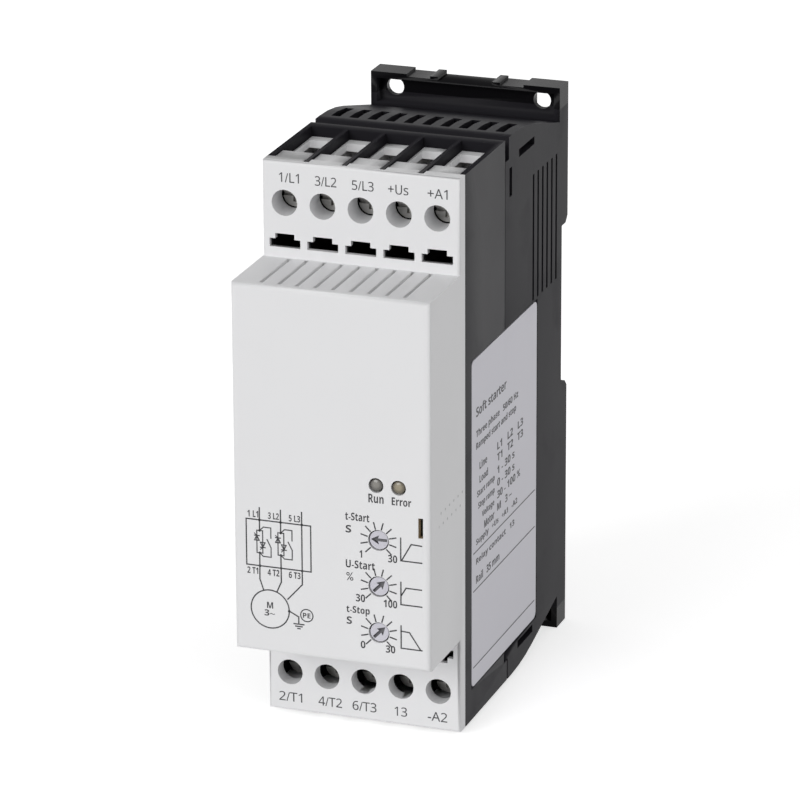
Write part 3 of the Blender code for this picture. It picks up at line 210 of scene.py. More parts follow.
RAMPS = (
    ((15.87, 52.3), (15.87, 47.1), (20.63, 47.1)),
    ((16.15, 47.35), (18.25, 51.1), (20.6, 51.0)),
    ((15.87, 42.15), (15.87, 37.0), (20.63, 37.0)),
    ((15.98, 39.15), (17.05, 40.92), (20.55, 40.9)),
    ((15.87, 32.1), (15.87, 26.9), (20.63, 26.9)),
    ((16.0, 30.85), (17.76, 30.75), (20.25, 27.05)),
)
WIRING = (
    ((-16.5, 55.3), (-16.5, 50.05)),
    ((-11.62, 55.3), (-11.62, 50.05)),
    ((-6.75, 55.4), (-6.75, 38.7), (-10.15, 34.9)),
    ((-16.52, 44.85), (-16.57, 38.83), (-15.75, 36.4)),
    ((-11.64, 44.9), (-11.6, 38.71), (-12.6, 36.4)),
    ((-4.7, 52.5), (-19.58, 52.5), (-19.58, 41.9), (-4.7, 41.9), (-4.7, 52.5)),
    ((-9.8, 32.14), (-7.67, 31.1), (-7.67, 29.4)),
    ((-8.8, 29.4), (-6.5, 29.4)),
    ((-8.42, 28.87), (-6.9, 28.87)),
    ((-7.92, 28.36), (-7.38, 28.36)),
)
SWITCHED_PHASES = (-16.5, -11.62)
PHASES = (-16.5, -11.62, -6.75)
BRANCH_ENDS = (50.05, 44.88)
DEVICE_EDGES = (52.5, 41.9)
MOTOR_CENTRE = (-14.27, 32.09)
MOTOR_RADIUS = 4.42
EARTH_START = (-9.85, 32.1)
EARTH_CENTRE = (-5.8, 31.64)
EARTH_RADIUS = 1.42
SPOT_RADIUS = 0.32
BRANCH_SPOT_RADIUS = 0.3
THIN_LINE = 0.85
SPOT_HEIGHT = 0.97
LAYER_STEP = 0.04

# Thyristors and bypass contact of one phase: across from the phase's line, and up
THYRISTOR_SIDES = (-0.65, 0.7)
THYRISTOR_TIPS = (48.85, 46.2)
THYRISTOR_BASES = (47.75, 47.35)
ARROW_HALF = 0.55
GATE_SHARE = 0.45
BYPASS_LOOP = ((0.0, 50.05), (0.88, 50.93), (2.6, 50.93), (2.6, 48.55))
BYPASS_BACK = ((1.7, 48.15), (2.62, 46.35), (2.6, 44.15), (0.8, 44.15), (0.0, 44.88))

# Scales round the dials
DIAL_CENTRES = ((10.8, 51.1), (10.8, 40.45), (10.8, 29.8))
TICK_ANGLES = [-135.0 + 30.0 * number for number in range(10)]
TICK_RADII = (2.65, 4.1)

# The label is drawn in millimetres along the depth and up from the cover's lower edge
LABEL_TEXTS = (
    ("Soft starter", (-60.0, 70.0, -39.3, 72.3)),
    ("Three phase   50/60 Hz", (-60.0, 64.8, -31.0, 66.9)),
    ("Ramped start and stop", (-60.0, 62.0, -32.5, 64.1)),
    ("Line", (-57.7, 57.2, -52.6, 59.0)),
    ("L1   L2   L3", (-45.5, 57.5, -27.5, 59.3)),
    ("Load", (-57.7, 54.0, -52.0, 55.8)),
    ("T1   T2   T3", (-45.5, 54.8, -27.5, 56.6)),
    ("Start ramp", (-59.3, 50.7, -47.4, 52.6)),
    ("1 - 30 s", (-45.5, 51.8, -33.5, 53.6)),
    ("Stop ramp", (-58.6, 47.8, -47.4, 49.7)),
    ("0 - 30 s", (-45.5, 48.9, -33.5, 50.7)),
    ("Voltage", (-56.0, 45.0, -47.6, 46.9)),
    ("30 - 100 %", (-45.5, 46.0, -29.5, 47.8)),
    ("Motor", (-54.5, 42.3, -47.6, 44.1)),
    ("M   3 ~", (-45.5, 43.1, -35.5, 44.9)),
    ("Supply   +Us   +A1   -A2", (-60.0, 39.8, -31.5, 41.6)),
    ("Relay contact   13", (-60.0, 35.2, -33.5, 37.1)),
    ("Rail   35 mm", (-60.0, 31.1, -44.0, 33.0)),
)
LABEL_RULES = (38.8, 29.9, 11.9)
LABEL_RULE_WIDTH = 0.26
LABEL_RULE_MARGIN = 1.2


class StarterPrint(PropertyGroup):
    """Sizes of the prints."""

    ink_height: FloatProperty(
        name="Ink height", description="How far a print stands out", default=0.03 * MM, unit="LENGTH"
    )
    line_width: FloatProperty(
        name="Line width", description="Width of the diagram's lines", default=0.29 * MM, unit="LENGTH"
    )
    tick_width: FloatProperty(
        name="Tick width", description="Width of the scale's ticks", default=0.3 * MM, unit="LENGTH"
    )
    label_margin: FloatProperty(
        name="Label corner", description="Radius of the label's corners", default=1.5 * MM, unit="LENGTH"
    )


class StarterColours(PropertyGroup):
    """Colours of the finishes."""

    cover: FloatVectorProperty(
        name="Cover", description="Front moulding", default=(0.80, 0.80, 0.81), subtype="COLOR"
    )
    housing: FloatVectorProperty(
        name="Housing", description="Dark mouldings", default=(0.0142, 0.0135, 0.0165), subtype="COLOR"
    )
    ink: FloatVectorProperty(
        name="Ink", description="Prints on the cover", default=(0.028, 0.028, 0.032), subtype="COLOR"
    )
    label: FloatVectorProperty(
        name="Label", description="Film of the rating label", default=(0.62, 0.61, 0.67), subtype="COLOR"
    )
    steel: FloatVectorProperty(
        name="Steel", description="Plated screws and cages", default=(0.56, 0.55, 0.53), subtype="COLOR"
    )
    dial: FloatVectorProperty(
        name="Dial", description="Trimmer rotors", default=(0.60, 0.59, 0.65), subtype="COLOR"
    )


class StarterStage(PropertyGroup):
    """Light and ground of the studio."""

    key: FloatProperty(name="Key light", description="Strength from the front left", default=1.5)
    fill: FloatProperty(name="Side light", description="Strength from the right", default=0.45)
    sky: FloatProperty(name="Sky light", description="Even light from all round", default=0.38)


def node(tree, kind, inputs=None, **settings):
    """A shader node with its settings, and its inputs set to values or linked to sockets."""
    made = tree.nodes.new(kind)
    for name, value in settings.items():
        setattr(made, name, value)
    for key, value in (inputs or {}).items():
        if isinstance(value, bpy.types.NodeSocket):
            tree.links.new(value, made.inputs[key])
        else:
            made.inputs[key].default_value = value
    return made


def sums(tree, operation, first, second=0.0, third=0.0):
    """The result of one Math node."""
    made = node(tree, "ShaderNodeMath", {0: first, 1: second, 2: third}, operation=operation)
    return made.outputs[0]


def blended(tree, factor, first, second):
    """A mix of two colours."""
    made = node(tree, "ShaderNodeMix", {0: factor, 6: first, 7: second}, data_type="RGBA")
    return made.outputs[2]


def rgba(colour, gain=1.0):
    """A colour with full alpha, lighter or darker by the gain."""
    return (colour[0] * gain, colour[1] * gain, colour[2] * gain, 1.0)


def new_group(name, inputs, outputs):
    """An empty node group with number inputs and outputs, and its two end nodes."""
    group = bpy.data.node_groups.new(name, "ShaderNodeTree")
    for label, default in inputs:
        socket = group.interface.new_socket(name=label, in_out="INPUT", socket_type="NodeSocketFloat")
        socket.default_value = default
    for label in outputs:
        group.interface.new_socket(name=label, in_out="OUTPUT", socket_type="NodeSocketFloat")
    return group, group.nodes.new("NodeGroupInput"), group.nodes.new("NodeGroupOutput")


def grain_group():
    """Fine spark-eroded grain of moulded plastic: a height and a slow mottling."""
    group, start, end = new_group("moulded grain", [("Scale", 2200.0)], ["Height", "Mottle"])
    place = node(group, "ShaderNodeTexCoord").outputs["Object"]
    fine = node(
        group,
        "ShaderNodeTexNoise",
        {"Vector": place, "Scale": start.outputs["Scale"], "Detail": 3.0, "Roughness": 0.6},
    )
    coarse = sums(group, "MULTIPLY", start.outputs["Scale"], 0.42)
    cells = node(group, "ShaderNodeTexVoronoi", {"Vector": place, "Scale": coarse}, feature="SMOOTH_F1")
    height = sums(group, "MULTIPLY_ADD", cells.outputs["Distance"], 0.5, fine.outputs[0])
    group.links.new(height, end.inputs["Height"])
    slow = node(group, "ShaderNodeTexNoise", {"Vector": place, "Scale": 55.0, "Detail": 4.0})
    group.links.new(slow.outputs[0], end.inputs["Mottle"])


def handling_group():
    """Faint smudges and dust of handling, as a mask between 0 and 1."""
    group, start, end = new_group("handling marks", [("Scale", 60.0), ("Spread", 0.5)], ["Mask"])
    place = node(group, "ShaderNodeTexCoord").outputs["Object"]
    patches = node(
        group,
        "ShaderNodeTexNoise",
        {"Vector": place, "Scale": start.outputs["Scale"], "Detail": 6.0, "Distortion": 0.8},
    )
    floor = sums(group, "SUBTRACT", 1.0, start.outputs["Spread"])
    above = sums(group, "SUBTRACT", patches.outputs[0], floor)
    span = sums(group, "MAXIMUM", start.outputs["Spread"], 0.01)
    mask = node(group, "ShaderNodeMath", {0: above, 1: span}, operation="DIVIDE", use_clamp=True)
    group.links.new(mask.outputs[0], end.inputs["Mask"])


def brushed_group():
    """Fine parallel marks of rolled or drawn metal: a height and a mask."""
    group, start, end = new_group("drawn metal", [("Scale", 900.0)], ["Height", "Mask"])
    place = node(group, "ShaderNodeTexCoord").outputs["Object"]
    drawn = node(group, "ShaderNodeMapping", {"Vector": place, "Scale": (1.0, 1.0, 0.06)})
    streaks = node(
        group,
        "ShaderNodeTexNoise",
        {"Vector": drawn.outputs[0], "Scale": start.outputs["Scale"], "Detail": 4.0},
    )
    group.links.new(streaks.outputs[0], end.inputs["Height"])
    stains = node(group, "ShaderNodeTexNoise", {"Vector": place, "Scale": 260.0, "Detail": 5.0})
    group.links.new(stains.outputs[0], end.inputs["Mask"])


def placed(tree, name, **values):
    """A shared group placed in a material with its own values."""
    made = node(tree, "ShaderNodeGroup", node_tree=bpy.data.node_groups[name])
    for key, value in values.items():
        made.inputs[key].default_value = value
    return made.outputs


def principled(name):
    """A new material. Returns it, its tree and its Principled shader."""
    material = bpy.data.materials.new(name)
    material.use_nodes = True
    tree = material.node_tree
    return material, tree, tree.nodes["Principled BSDF"]


def bumped(tree, shader, height, strength):
    """Lets this height disturb the shader's normal."""
    values = {"Height": height, "Strength": strength, "Distance": GRAIN_DEPTH}
    bump = node(tree, "ShaderNodeBump", values)
    tree.links.new(bump.outputs[0], shader.inputs["Normal"])


def finish(name, colour, roughness, grain=0.0, scale=2200.0, spread=0.45, vary=0.05, **sockets):
    """A Principled material with the moulded grain and handling marks. Returns its tree and shader."""
    material, tree, shader = principled(name)
    for key, value in sockets.items():
        shader.inputs[key.replace("_", " ")].default_value = value
    fine = placed(tree, "moulded grain", Scale=scale)
    marks = placed(tree, "handling marks", Spread=spread)
    tone = blended(tree, fine["Mottle"], rgba(colour, 1.0 - vary), rgba(colour, 1.0 + vary))
    tree.links.new(tone, shader.inputs["Base Color"])
    rough = sums(tree, "MULTIPLY_ADD", marks["Mask"], 0.12, roughness)
    rough = sums(tree, "MULTIPLY_ADD", fine["Mottle"], 0.08, rough)
    tree.links.new(rough, shader.inputs["Roughness"])
    if grain:
        bumped(tree, shader, fine["Height"], grain)
    material.diffuse_color = rgba(colour)
    return tree, shader


def metal(name, colour, roughness, scale=900.0):
    """A Principled metal with drawn marks and darker stains."""
    material, tree, shader = principled(name)
    shader.inputs["Metallic"].default_value = 1.0
    marks = placed(tree, "drawn metal", Scale=scale)
    tone = blended(tree, marks["Mask"], rgba(colour, 0.72), rgba(colour, 1.18))
    tree.links.new(tone, shader.inputs["Base Color"])
    rough = sums(tree, "MULTIPLY_ADD", marks["Mask"], 0.22, roughness - 0.1)
    tree.links.new(rough, shader.inputs["Roughness"])
    bumped(tree, shader, marks["Height"], 0.25)
    material.diffuse_color = rgba(colour)


def axes(tree):
    """The three Object coordinates in millimetres, with Z up from the cover's lower edge."""
    place = node(tree, "ShaderNodeTexCoord").outputs["Object"]
    split = node(tree, "ShaderNodeSeparateXYZ", {0: place}).outputs
    x = sums(tree, "MULTIPLY", split[0], 1000.0)
    y = sums(tree, "MULTIPLY", split[1], 1000.0)
    z = sums(tree, "MULTIPLY_ADD", split[2], 1000.0, -BASE * 1000.0)
    return x, y, z


def within(tree, value, low, high):
    """1 where the value lies between two limits, else 0."""
    above = sums(tree, "GREATER_THAN", value, low)
    below = sums(tree, "LESS_THAN", value, high)
    return sums(tree, "MULTIPLY", above, below)


def squares(tree, first, second):
    """The sum of two squares."""
    return sums(tree, "ADD", sums(tree, "POWER", first, 2.0), sums(tree, "POWER", second, 2.0))


def panel_depth(depth):
    """How far back a depth behind the panel's face lies, in millimetres."""
    return PANEL_Y / MM + depth


def cover_plastic(colours):
    """Light grey matt plastic with two rows of small round marks moulded into the panel box's sides,
    darkened inside with painted shade.
    """
    tree, shader = finish(
        "cover plastic", colours.cover, 0.42, grain=0.18, vary=0.012, Specular_IOR_Level=0.3
    )
    x, y, z = axes(tree)
    upper = within(tree, z, *UPPER_ROW_Z)
    along = sums(tree, "MULTIPLY_ADD", upper, DIMPLE_SHIFT, sums(tree, "ADD", y, DIMPLE_START))
    step_y = sums(tree, "WRAP", along, DIMPLE_HALF_STEP, -DIMPLE_HALF_STEP)
    above_row = sums(tree, "SUBTRACT", z, DIMPLE_ROW_Z)
    step_z = sums(tree, "WRAP", above_row, DIMPLE_HALF_ROW, -DIMPLE_HALF_ROW)
    spot = sums(tree, "LESS_THAN", squares(tree, step_y, step_z), DIMPLE_RADIUS_SQUARED)
    zone = sums(tree, "MULTIPLY", within(tree, z, *DIMPLES_Z), within(tree, y, *DIMPLES_Y))
    side = sums(tree, "GREATER_THAN", sums(tree, "ABSOLUTE", x), DIMPLE_SIDE)
    dimple = sums(tree, "MULTIPLY", sums(tree, "MULTIPLY", zone, side), spot)
    grain = shader.inputs["Normal"].links[0].from_node
    deep = node(
        tree,
        "ShaderNodeBump",
        {"Height": dimple, "Strength": 1.0, "Distance": DIMPLE_DEPTH, "Normal": grain.outputs[0]},
        invert=True,
    )
    tree.links.new(deep.outputs[0], shader.inputs["Normal"])
    slot = sums(tree, "MULTIPLY", within(tree, x, *KEY_SLOT_X), within(tree, z, *KEY_SLOT_Z))
    walls = within(tree, y, *(panel_depth(depth) for depth in KEY_SLOT_DEPTHS))
    slot = sums(tree, "MULTIPLY", slot, walls)
    tone = shader.inputs["Base Color"].links[0].from_socket
    # Painted shade: inside the dimples the cover's colour is darkened to 0.62, standing in for the shade
    # in these small hollows.
    shade_painted_dimples = blended(tree, dimple, tone, rgba(colours.cover, 0.62))
    tree.links.new(blended(tree, slot, shade_painted_dimples, rgba(KEY_SLOT_COLOUR)), shader.inputs["Base Color"])


def housing_plastic(colours):
    """Charcoal grained plastic that is smoother and blacker on the fixing flanges."""
    tree, shader = finish(
        "housing plastic",
        colours.housing,
        0.40,
        grain=0.35,
        scale=1500.0,
        vary=0.16,
        Specular_IOR_Level=0.06,
    )
    _, y, z = axes(tree)
    away = sums(tree, "ABSOLUTE", sums(tree, "SUBTRACT", z, FLANGE_MIDDLE_Z))
    outside = sums(tree, "GREATER_THAN", away, FLANGE_REACH)
    flange = sums(tree, "MULTIPLY", outside, sums(tree, "GREATER_THAN", y, FLANGE_Y))
    tone = shader.inputs["Base Color"].links[0].from_socket
    black = blended(tree, flange, tone, rgba(colours.housing, 0.3))
    tree.links.new(black, shader.inputs["Base Color"])
    rough = shader.inputs["Roughness"].links[0].from_socket
    polished = sums(tree, "MULTIPLY_ADD", flange, -0.2, rough)
    tree.links.new(polished, shader.inputs["Roughness"])


def dial_plastic(colours):
    """Pale rotor plastic whose recess for the screwdriver is darkened with painted shade."""
    tree, shader = finish("dial plastic", colours.dial, 0.45, grain=0.2, vary=0.05)
    _, y, _ = axes(tree)
    deep = sums(tree, "GREATER_THAN", y, panel_depth(RECESS_DEPTH))
    tone = shader.inputs["Base Color"].links[0].from_socket
    # Painted shade: everything deeper than the recess depth is darkened to 0.16 of the rotor's colour.
    tree.links.new(blended(tree, deep, tone, rgba(colours.dial, 0.16)), shader.inputs["Base Color"])


def lens_plastic(name, centre_x, rim, heart):
    """Cloudy light pipe with a paler heart."""
    tree, shader = finish(name, rim, 0.22, vary=0.1, Coat_Weight=0.4)
    x, _, z = axes(tree)
    across = sums(tree, "SUBTRACT", x, centre_x)
    up = sums(tree, "SUBTRACT", z, LIGHTS_Z)
    near, far = HEART_SQUARES
    fade = node(
        tree,
        "ShaderNodeMapRange",
        {
            "Value": squares(tree, across, up),
            "From Min": near,
            "From Max": far,
            "To Min": 1.0,
            "To Max": 0.0,
        },
        interpolation_type="SMOOTHSTEP",
    )
    tone = shader.inputs["Base Color"].links[0].from_socket
    tree.links.new(blended(tree, fade.outputs[0], tone, rgba(heart)), shader.inputs["Base Color"])


def board_laminate():
    """Green solder mask over copper tracks."""
    tree, shader = finish("circuit board", BOARD_COLOUR, 0.3, vary=0.1, Coat_Weight=0.3)
    place = node(tree, "ShaderNodeTexCoord").outputs["Object"]
    turned = node(tree, "ShaderNodeMapping", {"Vector": place, "Rotation": (math.radians(90), 0.0, 0.0)})
    tracks = node(
        tree,
        "ShaderNodeTexBrick",
        {"Vector": turned.outputs[0], "Scale": 120.0, "Mortar Size": 0.06, "Brick Width": 0.9},
    )
    tone = shader.inputs["Base Color"].links[0].from_socket
    covered = blended(tree, tracks.outputs["Fac"], tone, rgba(TRACK_COLOUR))
    tree.links.new(covered, shader.inputs["Base Color"])


def make_materials(colours):
    """Every finish of the starter."""
    grain_group()
    handling_group()
    brushed_group()
    cover_plastic(colours)
    housing_plastic(colours)
    finish("panel ink", colours.ink, 0.5, vary=0.2)
    finish("label film", colours.label, 0.3, grain=0.1, scale=1200.0, vary=0.03)
    finish("label ink", colours.ink, 0.45, vary=0.2)
    metal("plated steel", colours.steel, 0.36)
    # Painted shade: the screws sit deep in their holes, so they take the plated steel darkened to 0.62.
    metal("screw steel with painted shade", rgba(colours.steel, 0.62), 0.34, scale=1400.0)
    metal("tinned copper", COPPER_COLOUR, 0.34)
    metal("extruded aluminium", ALUMINIUM_COLOUR, 0.38, scale=500.0)
    dial_plastic(colours)
    lens_plastic("run light pipe", RUN_X, RUN_RIM, RUN_HEART)
    lens_plastic("fault light pipe", FAULT_X, FAULT_RIM, FAULT_HEART)
    board_laminate()
    finish("black moulding", BLACK_COLOUR, 0.42, grain=0.3, vary=0.1)
    finish("relay case", RELAY_COLOUR, 0.4, grain=0.15, vary=0.03)
    finish("latch plastic", LATCH_COLOUR, 0.42, grain=0.3, vary=0.1)


def material_of(name):
    """A finish that the materials operator made."""
    made = bpy.data.materials.get(name)
    if made is None:
        raise RuntimeError(f"the finish {name!r} isn't made yet")
    return made


def held(name, data):
    """An object in the scene that holds this mesh, curve, lamp or camera."""
    holder = bpy.data.objects.new(name, data)
    bpy.context.scene.collection.objects.link(holder)
    return holder


def new_piece(name, mesh, material, body):
    """An object from this bmesh, which rides on a body of the frame."""
    bmesh.ops.recalc_face_normals(mesh, faces=mesh.faces)
    data = bpy.data.meshes.new(name)
    mesh.to_mesh(data)
    mesh.free()
    data.materials.append(material_of(material))
    piece = held(name, data)
    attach(piece, body)
    return piece


def smooth(piece, degrees, weighted=True):
    """Smooth shading up to an angle, with flat faces kept flat."""
    piece.data.shade_smooth()
    piece.data.set_sharp_from_angle(angle=math.radians(degrees))
    if weighted:
        modifier = piece.modifiers.new("even normals", "WEIGHTED_NORMAL")
        modifier.keep_sharp = True


def cleaned(mesh):
    """The bmesh with doubled points merged and its flat areas free of inner edges."""
    bmesh.ops.remove_doubles(mesh, verts=mesh.verts, dist=MERGE_DISTANCE)
    bmesh.ops.dissolve_limit(mesh, angle_limit=FLAT_ANGLE, verts=mesh.verts, edges=mesh.edges)
    return mesh


def merged_copy(node_name):
    """A node's solid as one closed bmesh."""
    mesh = bmesh.new()
    mesh.from_mesh(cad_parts[node_name].data)
    return cleaned(mesh)


def evaluated(holder):
    """A bmesh of the object as its modifiers or its letters make it."""
    bpy.context.view_layer.update()
    graph = bpy.context.evaluated_depsgraph_get()
    data = bpy.data.meshes.new_from_object(holder.evaluated_get(graph))
    mesh = bmesh.new()
    mesh.from_mesh(data)
    bpy.data.meshes.remove(data)
    return mesh


def block(mesh, low, high):
    """A box between two corners, given in millimetres."""
    low, high = Vector(low) * MM, Vector(high) * MM
    place = Matrix.Translation((low + high) / 2)
    bmesh.ops.create_cube(mesh, size=1.0, matrix=place @ Matrix.Diagonal((*(high - low), 1.0)))


def carved(mesh, boxes):
    """The bmesh with these boxes, given in millimetres, cut out of it."""
    cutter = bmesh.new()
    for low, high in boxes:
        block(cutter, low, high)
    holders = []
    for form in (mesh, cutter):
        data = bpy.data.meshes.new("carving")
        form.to_mesh(data)
        form.free()
        holders.append(held("carving", data))
    whole, tool = holders
    modifier = whole.modifiers.new("carving", "BOOLEAN")
    modifier.operation = "DIFFERENCE"
    modifier.object = tool
    modifier.solver = "EXACT"
    result = evaluated(whole)
    for holder in holders:
        data = holder.data
        bpy.data.objects.remove(holder, do_unlink=True)
        bpy.data.meshes.remove(data)
    return cleaned(result)


def cover_pockets():
    """Boxes that thin the cover behind its stepped slots and under the fingers of its wire funnels."""
    boxes = []
    for x in BAYS:
        for low, high in SLOT_POCKET, FINGER_HOLLOW:
            mirrored = (2 * MIDDLE_Z - high[2], 2 * MIDDLE_Z - low[2])
            for bottom, top in (low[2], high[2]), mirrored:
                boxes.append(((x + low[0], low[1], bottom), (x + high[0], high[1], top)))
    return boxes


def dressed(node_name, name, material, body, degrees=50.0):
    """A smooth-shaded piece that stands for a node of the same shape."""
    piece = new_piece(name, merged_copy(node_name), material, body)
    smooth(piece, degrees)
    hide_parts(node_name)
    return piece


def repaint(node_name, material):
    """A new finish on a node of the frame."""
    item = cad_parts[node_name]
    item.data.materials.clear()
    item.data.materials.append(material_of(material))


def sheet_matrix(face):
    """Turns a drawing in millimetres (across, up, out) onto the panel, the plate or the label."""
    scale = Matrix.Scale(MM, 4)
    if face == "label":
        turn = Matrix(((0, 0, 1, 0), (1, 0, 0, 0), (0, 1, 0, 0), (0, 0, 0, 1)))
        return Matrix.Translation((LABEL_HIGH[0] - SETBACK, 0, BASE)) @ turn @ scale
    turn = Matrix(((1, 0, 0, 0), (0, 0, -1, 0), (0, 1, 0, 0), (0, 0, 0, 1)))
    y = PANEL_Y + SETBACK if face == "panel" else PLATE_Y
    return Matrix.Translation((0, y, BASE)) @ turn @ scale


def ink_line(mesh, points, width, height):
    """A line of ink through these points, with each stretch a little higher than the one before."""
    for number, (start, end) in enumerate(zip(points, points[1:])):
        start, end = Vector((*start, 0.0)), Vector((*end, 0.0))
        along = end - start
        turn = Matrix.Rotation(math.atan2(along.y, along.x), 4, "Z")
        top = height * (1.0 - LAYER_STEP * (number % 4))
        size = Matrix.Diagonal((along.length + width * 0.9, width, top, 1.0))
        middle = Matrix.Translation((start + end) / 2 + Vector((0.0, 0.0, top / 2)))
        bmesh.ops.create_cube(mesh, size=1.0, matrix=middle @ turn @ size)


def ink_ring(mesh, centre, radius, width, height, steps=48):
    """A circle of ink, spun from its section."""
    ring = bmesh.new()
    low, high = radius - width / 2, radius + width / 2
    places = ((low, 0, 0), (high, 0, 0), (high, 0, height), (low, 0, height))
    corners = [ring.verts.new(place) for place in places]
    section = ring.faces.new(corners)
    bmesh.ops.spin(
        ring,
        geom=[section] + list(section.edges) + corners,
        cent=(0, 0, 0),
        axis=(0, 0, 1),
        angle=math.tau,
        steps=steps,
        use_merge=True,
    )
    across = [face for face in ring.faces if abs(face.normal.y) > 0.99 and len(face.verts) == 4]
    inner = [face for face in across if abs(face.calc_center_median().y) < 1e-6]
    bmesh.ops.delete(ring, geom=inner, context="FACES_ONLY")
    bmesh.ops.remove_doubles(ring, verts=ring.verts, dist=RING_MERGE)
    ring.transform(Matrix.Translation((*centre, 0.0)))
    pour(ring, mesh)


def ink_dot(mesh, centre, radius, height):
    """A round spot of ink."""
    middle = Matrix.Translation((*centre, height / 2))
    bmesh.ops.create_cone(
        mesh, cap_ends=True, segments=16, radius1=radius, radius2=radius, depth=height, matrix=middle
    )


def plain_letters(words, starts):
    """The same words in one of Unicode's sans-serif alphabets, whose figure 1 has a flag."""
    drawn = ""
    for letter in words:
        for (first, last), start in zip(("AZ", "az", "09"), starts):
            if first <= letter <= last:
                letter = chr(start + ord(letter) - ord(first))
                break
        drawn += letter
    return drawn


def ink_text(mesh, words, box, height, starts=HEAVY):
    """Lettering that just fills a box given by left, low, right and high."""
    curve = bpy.data.curves.new("lettering", "FONT")
    curve.body = plain_letters(words, starts)
    curve.resolution_u = 3
    curve.extrude = 0.01
    holder = held("lettering", curve)
    letters = evaluated(holder)
    bpy.data.objects.remove(holder, do_unlink=True)
    bpy.data.curves.remove(curve)
    bmesh.ops.remove_doubles(letters, verts=letters.verts, dist=LETTER_MERGE)
    places = [vert.co for vert in letters.verts]
    low = Vector([min(place[axis] for place in places) for axis in range(3)])
    high = Vector([max(place[axis] for place in places) for axis in range(3)])
    left, bottom, right, top = box
    across = (right - left) / (high.x - low.x)
    up = (top - bottom) / (high.y - low.y)
    size = Matrix.Diagonal((across, up, height / (high.z - low.z), 1.0))
    letters.transform(Matrix.Translation((left, bottom, 0.0)) @ size @ Matrix.Translation(-low))
    pour(letters, mesh)


def pour(source, target):
    """Moves all of one bmesh into another."""
    data = bpy.data.meshes.new("poured")
    source.to_mesh(data)
    source.free()
    target.from_mesh(data)
    bpy.data.meshes.remove(data)


def draw_thyristor_pair(mesh, x, width, height):
    """Two opposed thyristors in one phase, with the bypass contact beside them."""
    sides = [x + across for across in THYRISTOR_SIDES]
    left, right = sides
    top, bottom = BRANCH_ENDS
    ink_line(mesh, ((left, top), (left, bottom)), width, height)
    ink_line(mesh, ((right, top), (right, bottom)), width, height * 0.9)
    ink_line(mesh, ((left, top), (right, top)), width, height * 0.8)
    ink_line(mesh, ((left, bottom), (right, bottom)), width, height * 0.8)
    for side, tip, base in zip(sides, THYRISTOR_TIPS, THYRISTOR_BASES):
        near, far = side - ARROW_HALF, side + ARROW_HALF
        ink_line(mesh, ((near, base), (far, base), (side, tip), (near, base)), width, height)
        ink_line(mesh, ((near, tip), (far, tip)), width, height * 0.95)
        gate_end = tip + (tip - base) * GATE_SHARE
        ink_line(mesh, ((side, tip), (near, gate_end)), width * 0.8, height * 0.9)
    ink_line(mesh, [(x + across, up) for across, up in BYPASS_LOOP], width, height)
    ink_line(mesh, [(x + across, up) for across, up in BYPASS_BACK], width, height * 0.93)


class SOFTSTARTER_OT_finishes(Operator):
    """Make the shared shader groups and every finish."""

    bl_idname = "softstarter.finishes"
    bl_label = "Finishes"

    def execute(self, context):
        make_materials(context.scene.starter_colours)
        return {"FINISHED"}


class SOFTSTARTER_OT_mouldings(Operator):
    """Dress the light cover and the two dark housings with smooth edges."""

    bl_idname = "softstarter.mouldings"
    bl_label = "Mouldings"

    def execute(self, context):
        mesh = carved(merged_copy("front_cover"), cover_pockets())
        for vert in mesh.verts:
            if vert.co.y < PANEL_Y + SETBACK:
                vert.co.y = PANEL_Y + SETBACK
        cover = new_piece("cover_moulding", mesh, "cover plastic", CASE)
        smooth(cover, 50.0)
        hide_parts("front_cover")
        dressed("front_housing", "front_shell", "housing plastic", CASE)
        dressed("rear_housing", "rear_shell", "housing plastic", CASE)
        return {"FINISHED"}


class SOFTSTARTER_OT_terminals(Operator):
    """Finish the screws, cages and contact bars."""

    bl_idname = "softstarter.terminals"
    bl_label = "Terminals"

    def execute(self, context):
        for number in range(1, 11):
            screw = f"screw_{number}"
            # The screw heads take the steel darkened as painted shade.
            dressed(f"terminal_{screw}", f"slotted_{screw}", "screw steel with painted shade", screw, 40.0)
            repaint(f"terminal_clamp_{number}", "plated steel")
        for number in range(1, 6):
            repaint(f"line_bar_{number}", "tinned copper")
            repaint(f"load_bar_{number}", "tinned copper")
        return {"FINISHED"}


class SOFTSTARTER_OT_panel_print(Operator):
    """Draw the wiring diagram, the scales and the words on the panel."""

    bl_idname = "softstarter.panel_print"
    bl_label = "Panel print"

    def execute(self, context):
        sizes = context.scene.starter_print
        height = sizes.ink_height / MM
        width = sizes.line_width / MM
        mesh = bmesh.new()
        for words, box in PANEL_TEXTS:
            ink_text(mesh, words, box, height)
        for points in WIRING + RAMPS:
            ink_line(mesh, points, width, height)
        for x in SWITCHED_PHASES:
            draw_thyristor_pair(mesh, x, width * THIN_LINE, height)
            for z in BRANCH_ENDS:
                ink_dot(mesh, (x, z), BRANCH_SPOT_RADIUS, height * SPOT_HEIGHT)
        for x in PHASES:
            for z in DEVICE_EDGES:
                ink_dot(mesh, (x, z), SPOT_RADIUS, height * SPOT_HEIGHT)
        ink_dot(mesh, EARTH_START, SPOT_RADIUS, height * SPOT_HEIGHT)
        ink_ring(mesh, MOTOR_CENTRE, MOTOR_RADIUS, width, height)
        ink_ring(mesh, EARTH_CENTRE, EARTH_RADIUS, width * THIN_LINE, height, 32)
        near, far = TICK_RADII
        for x, z in DIAL_CENTRES:
            for angle in TICK_ANGLES:
                way = (math.sin(math.radians(angle)), math.cos(math.radians(angle)))
                start = (x + near * way[0], z + near * way[1])
                end = (x + far * way[0], z + far * way[1])
                ink_line(mesh, (start, end), sizes.tick_width / MM, height)
        mesh.transform(sheet_matrix("panel"))
        new_piece("panel_print", mesh, "panel ink", CASE)
        return {"FINISHED"}


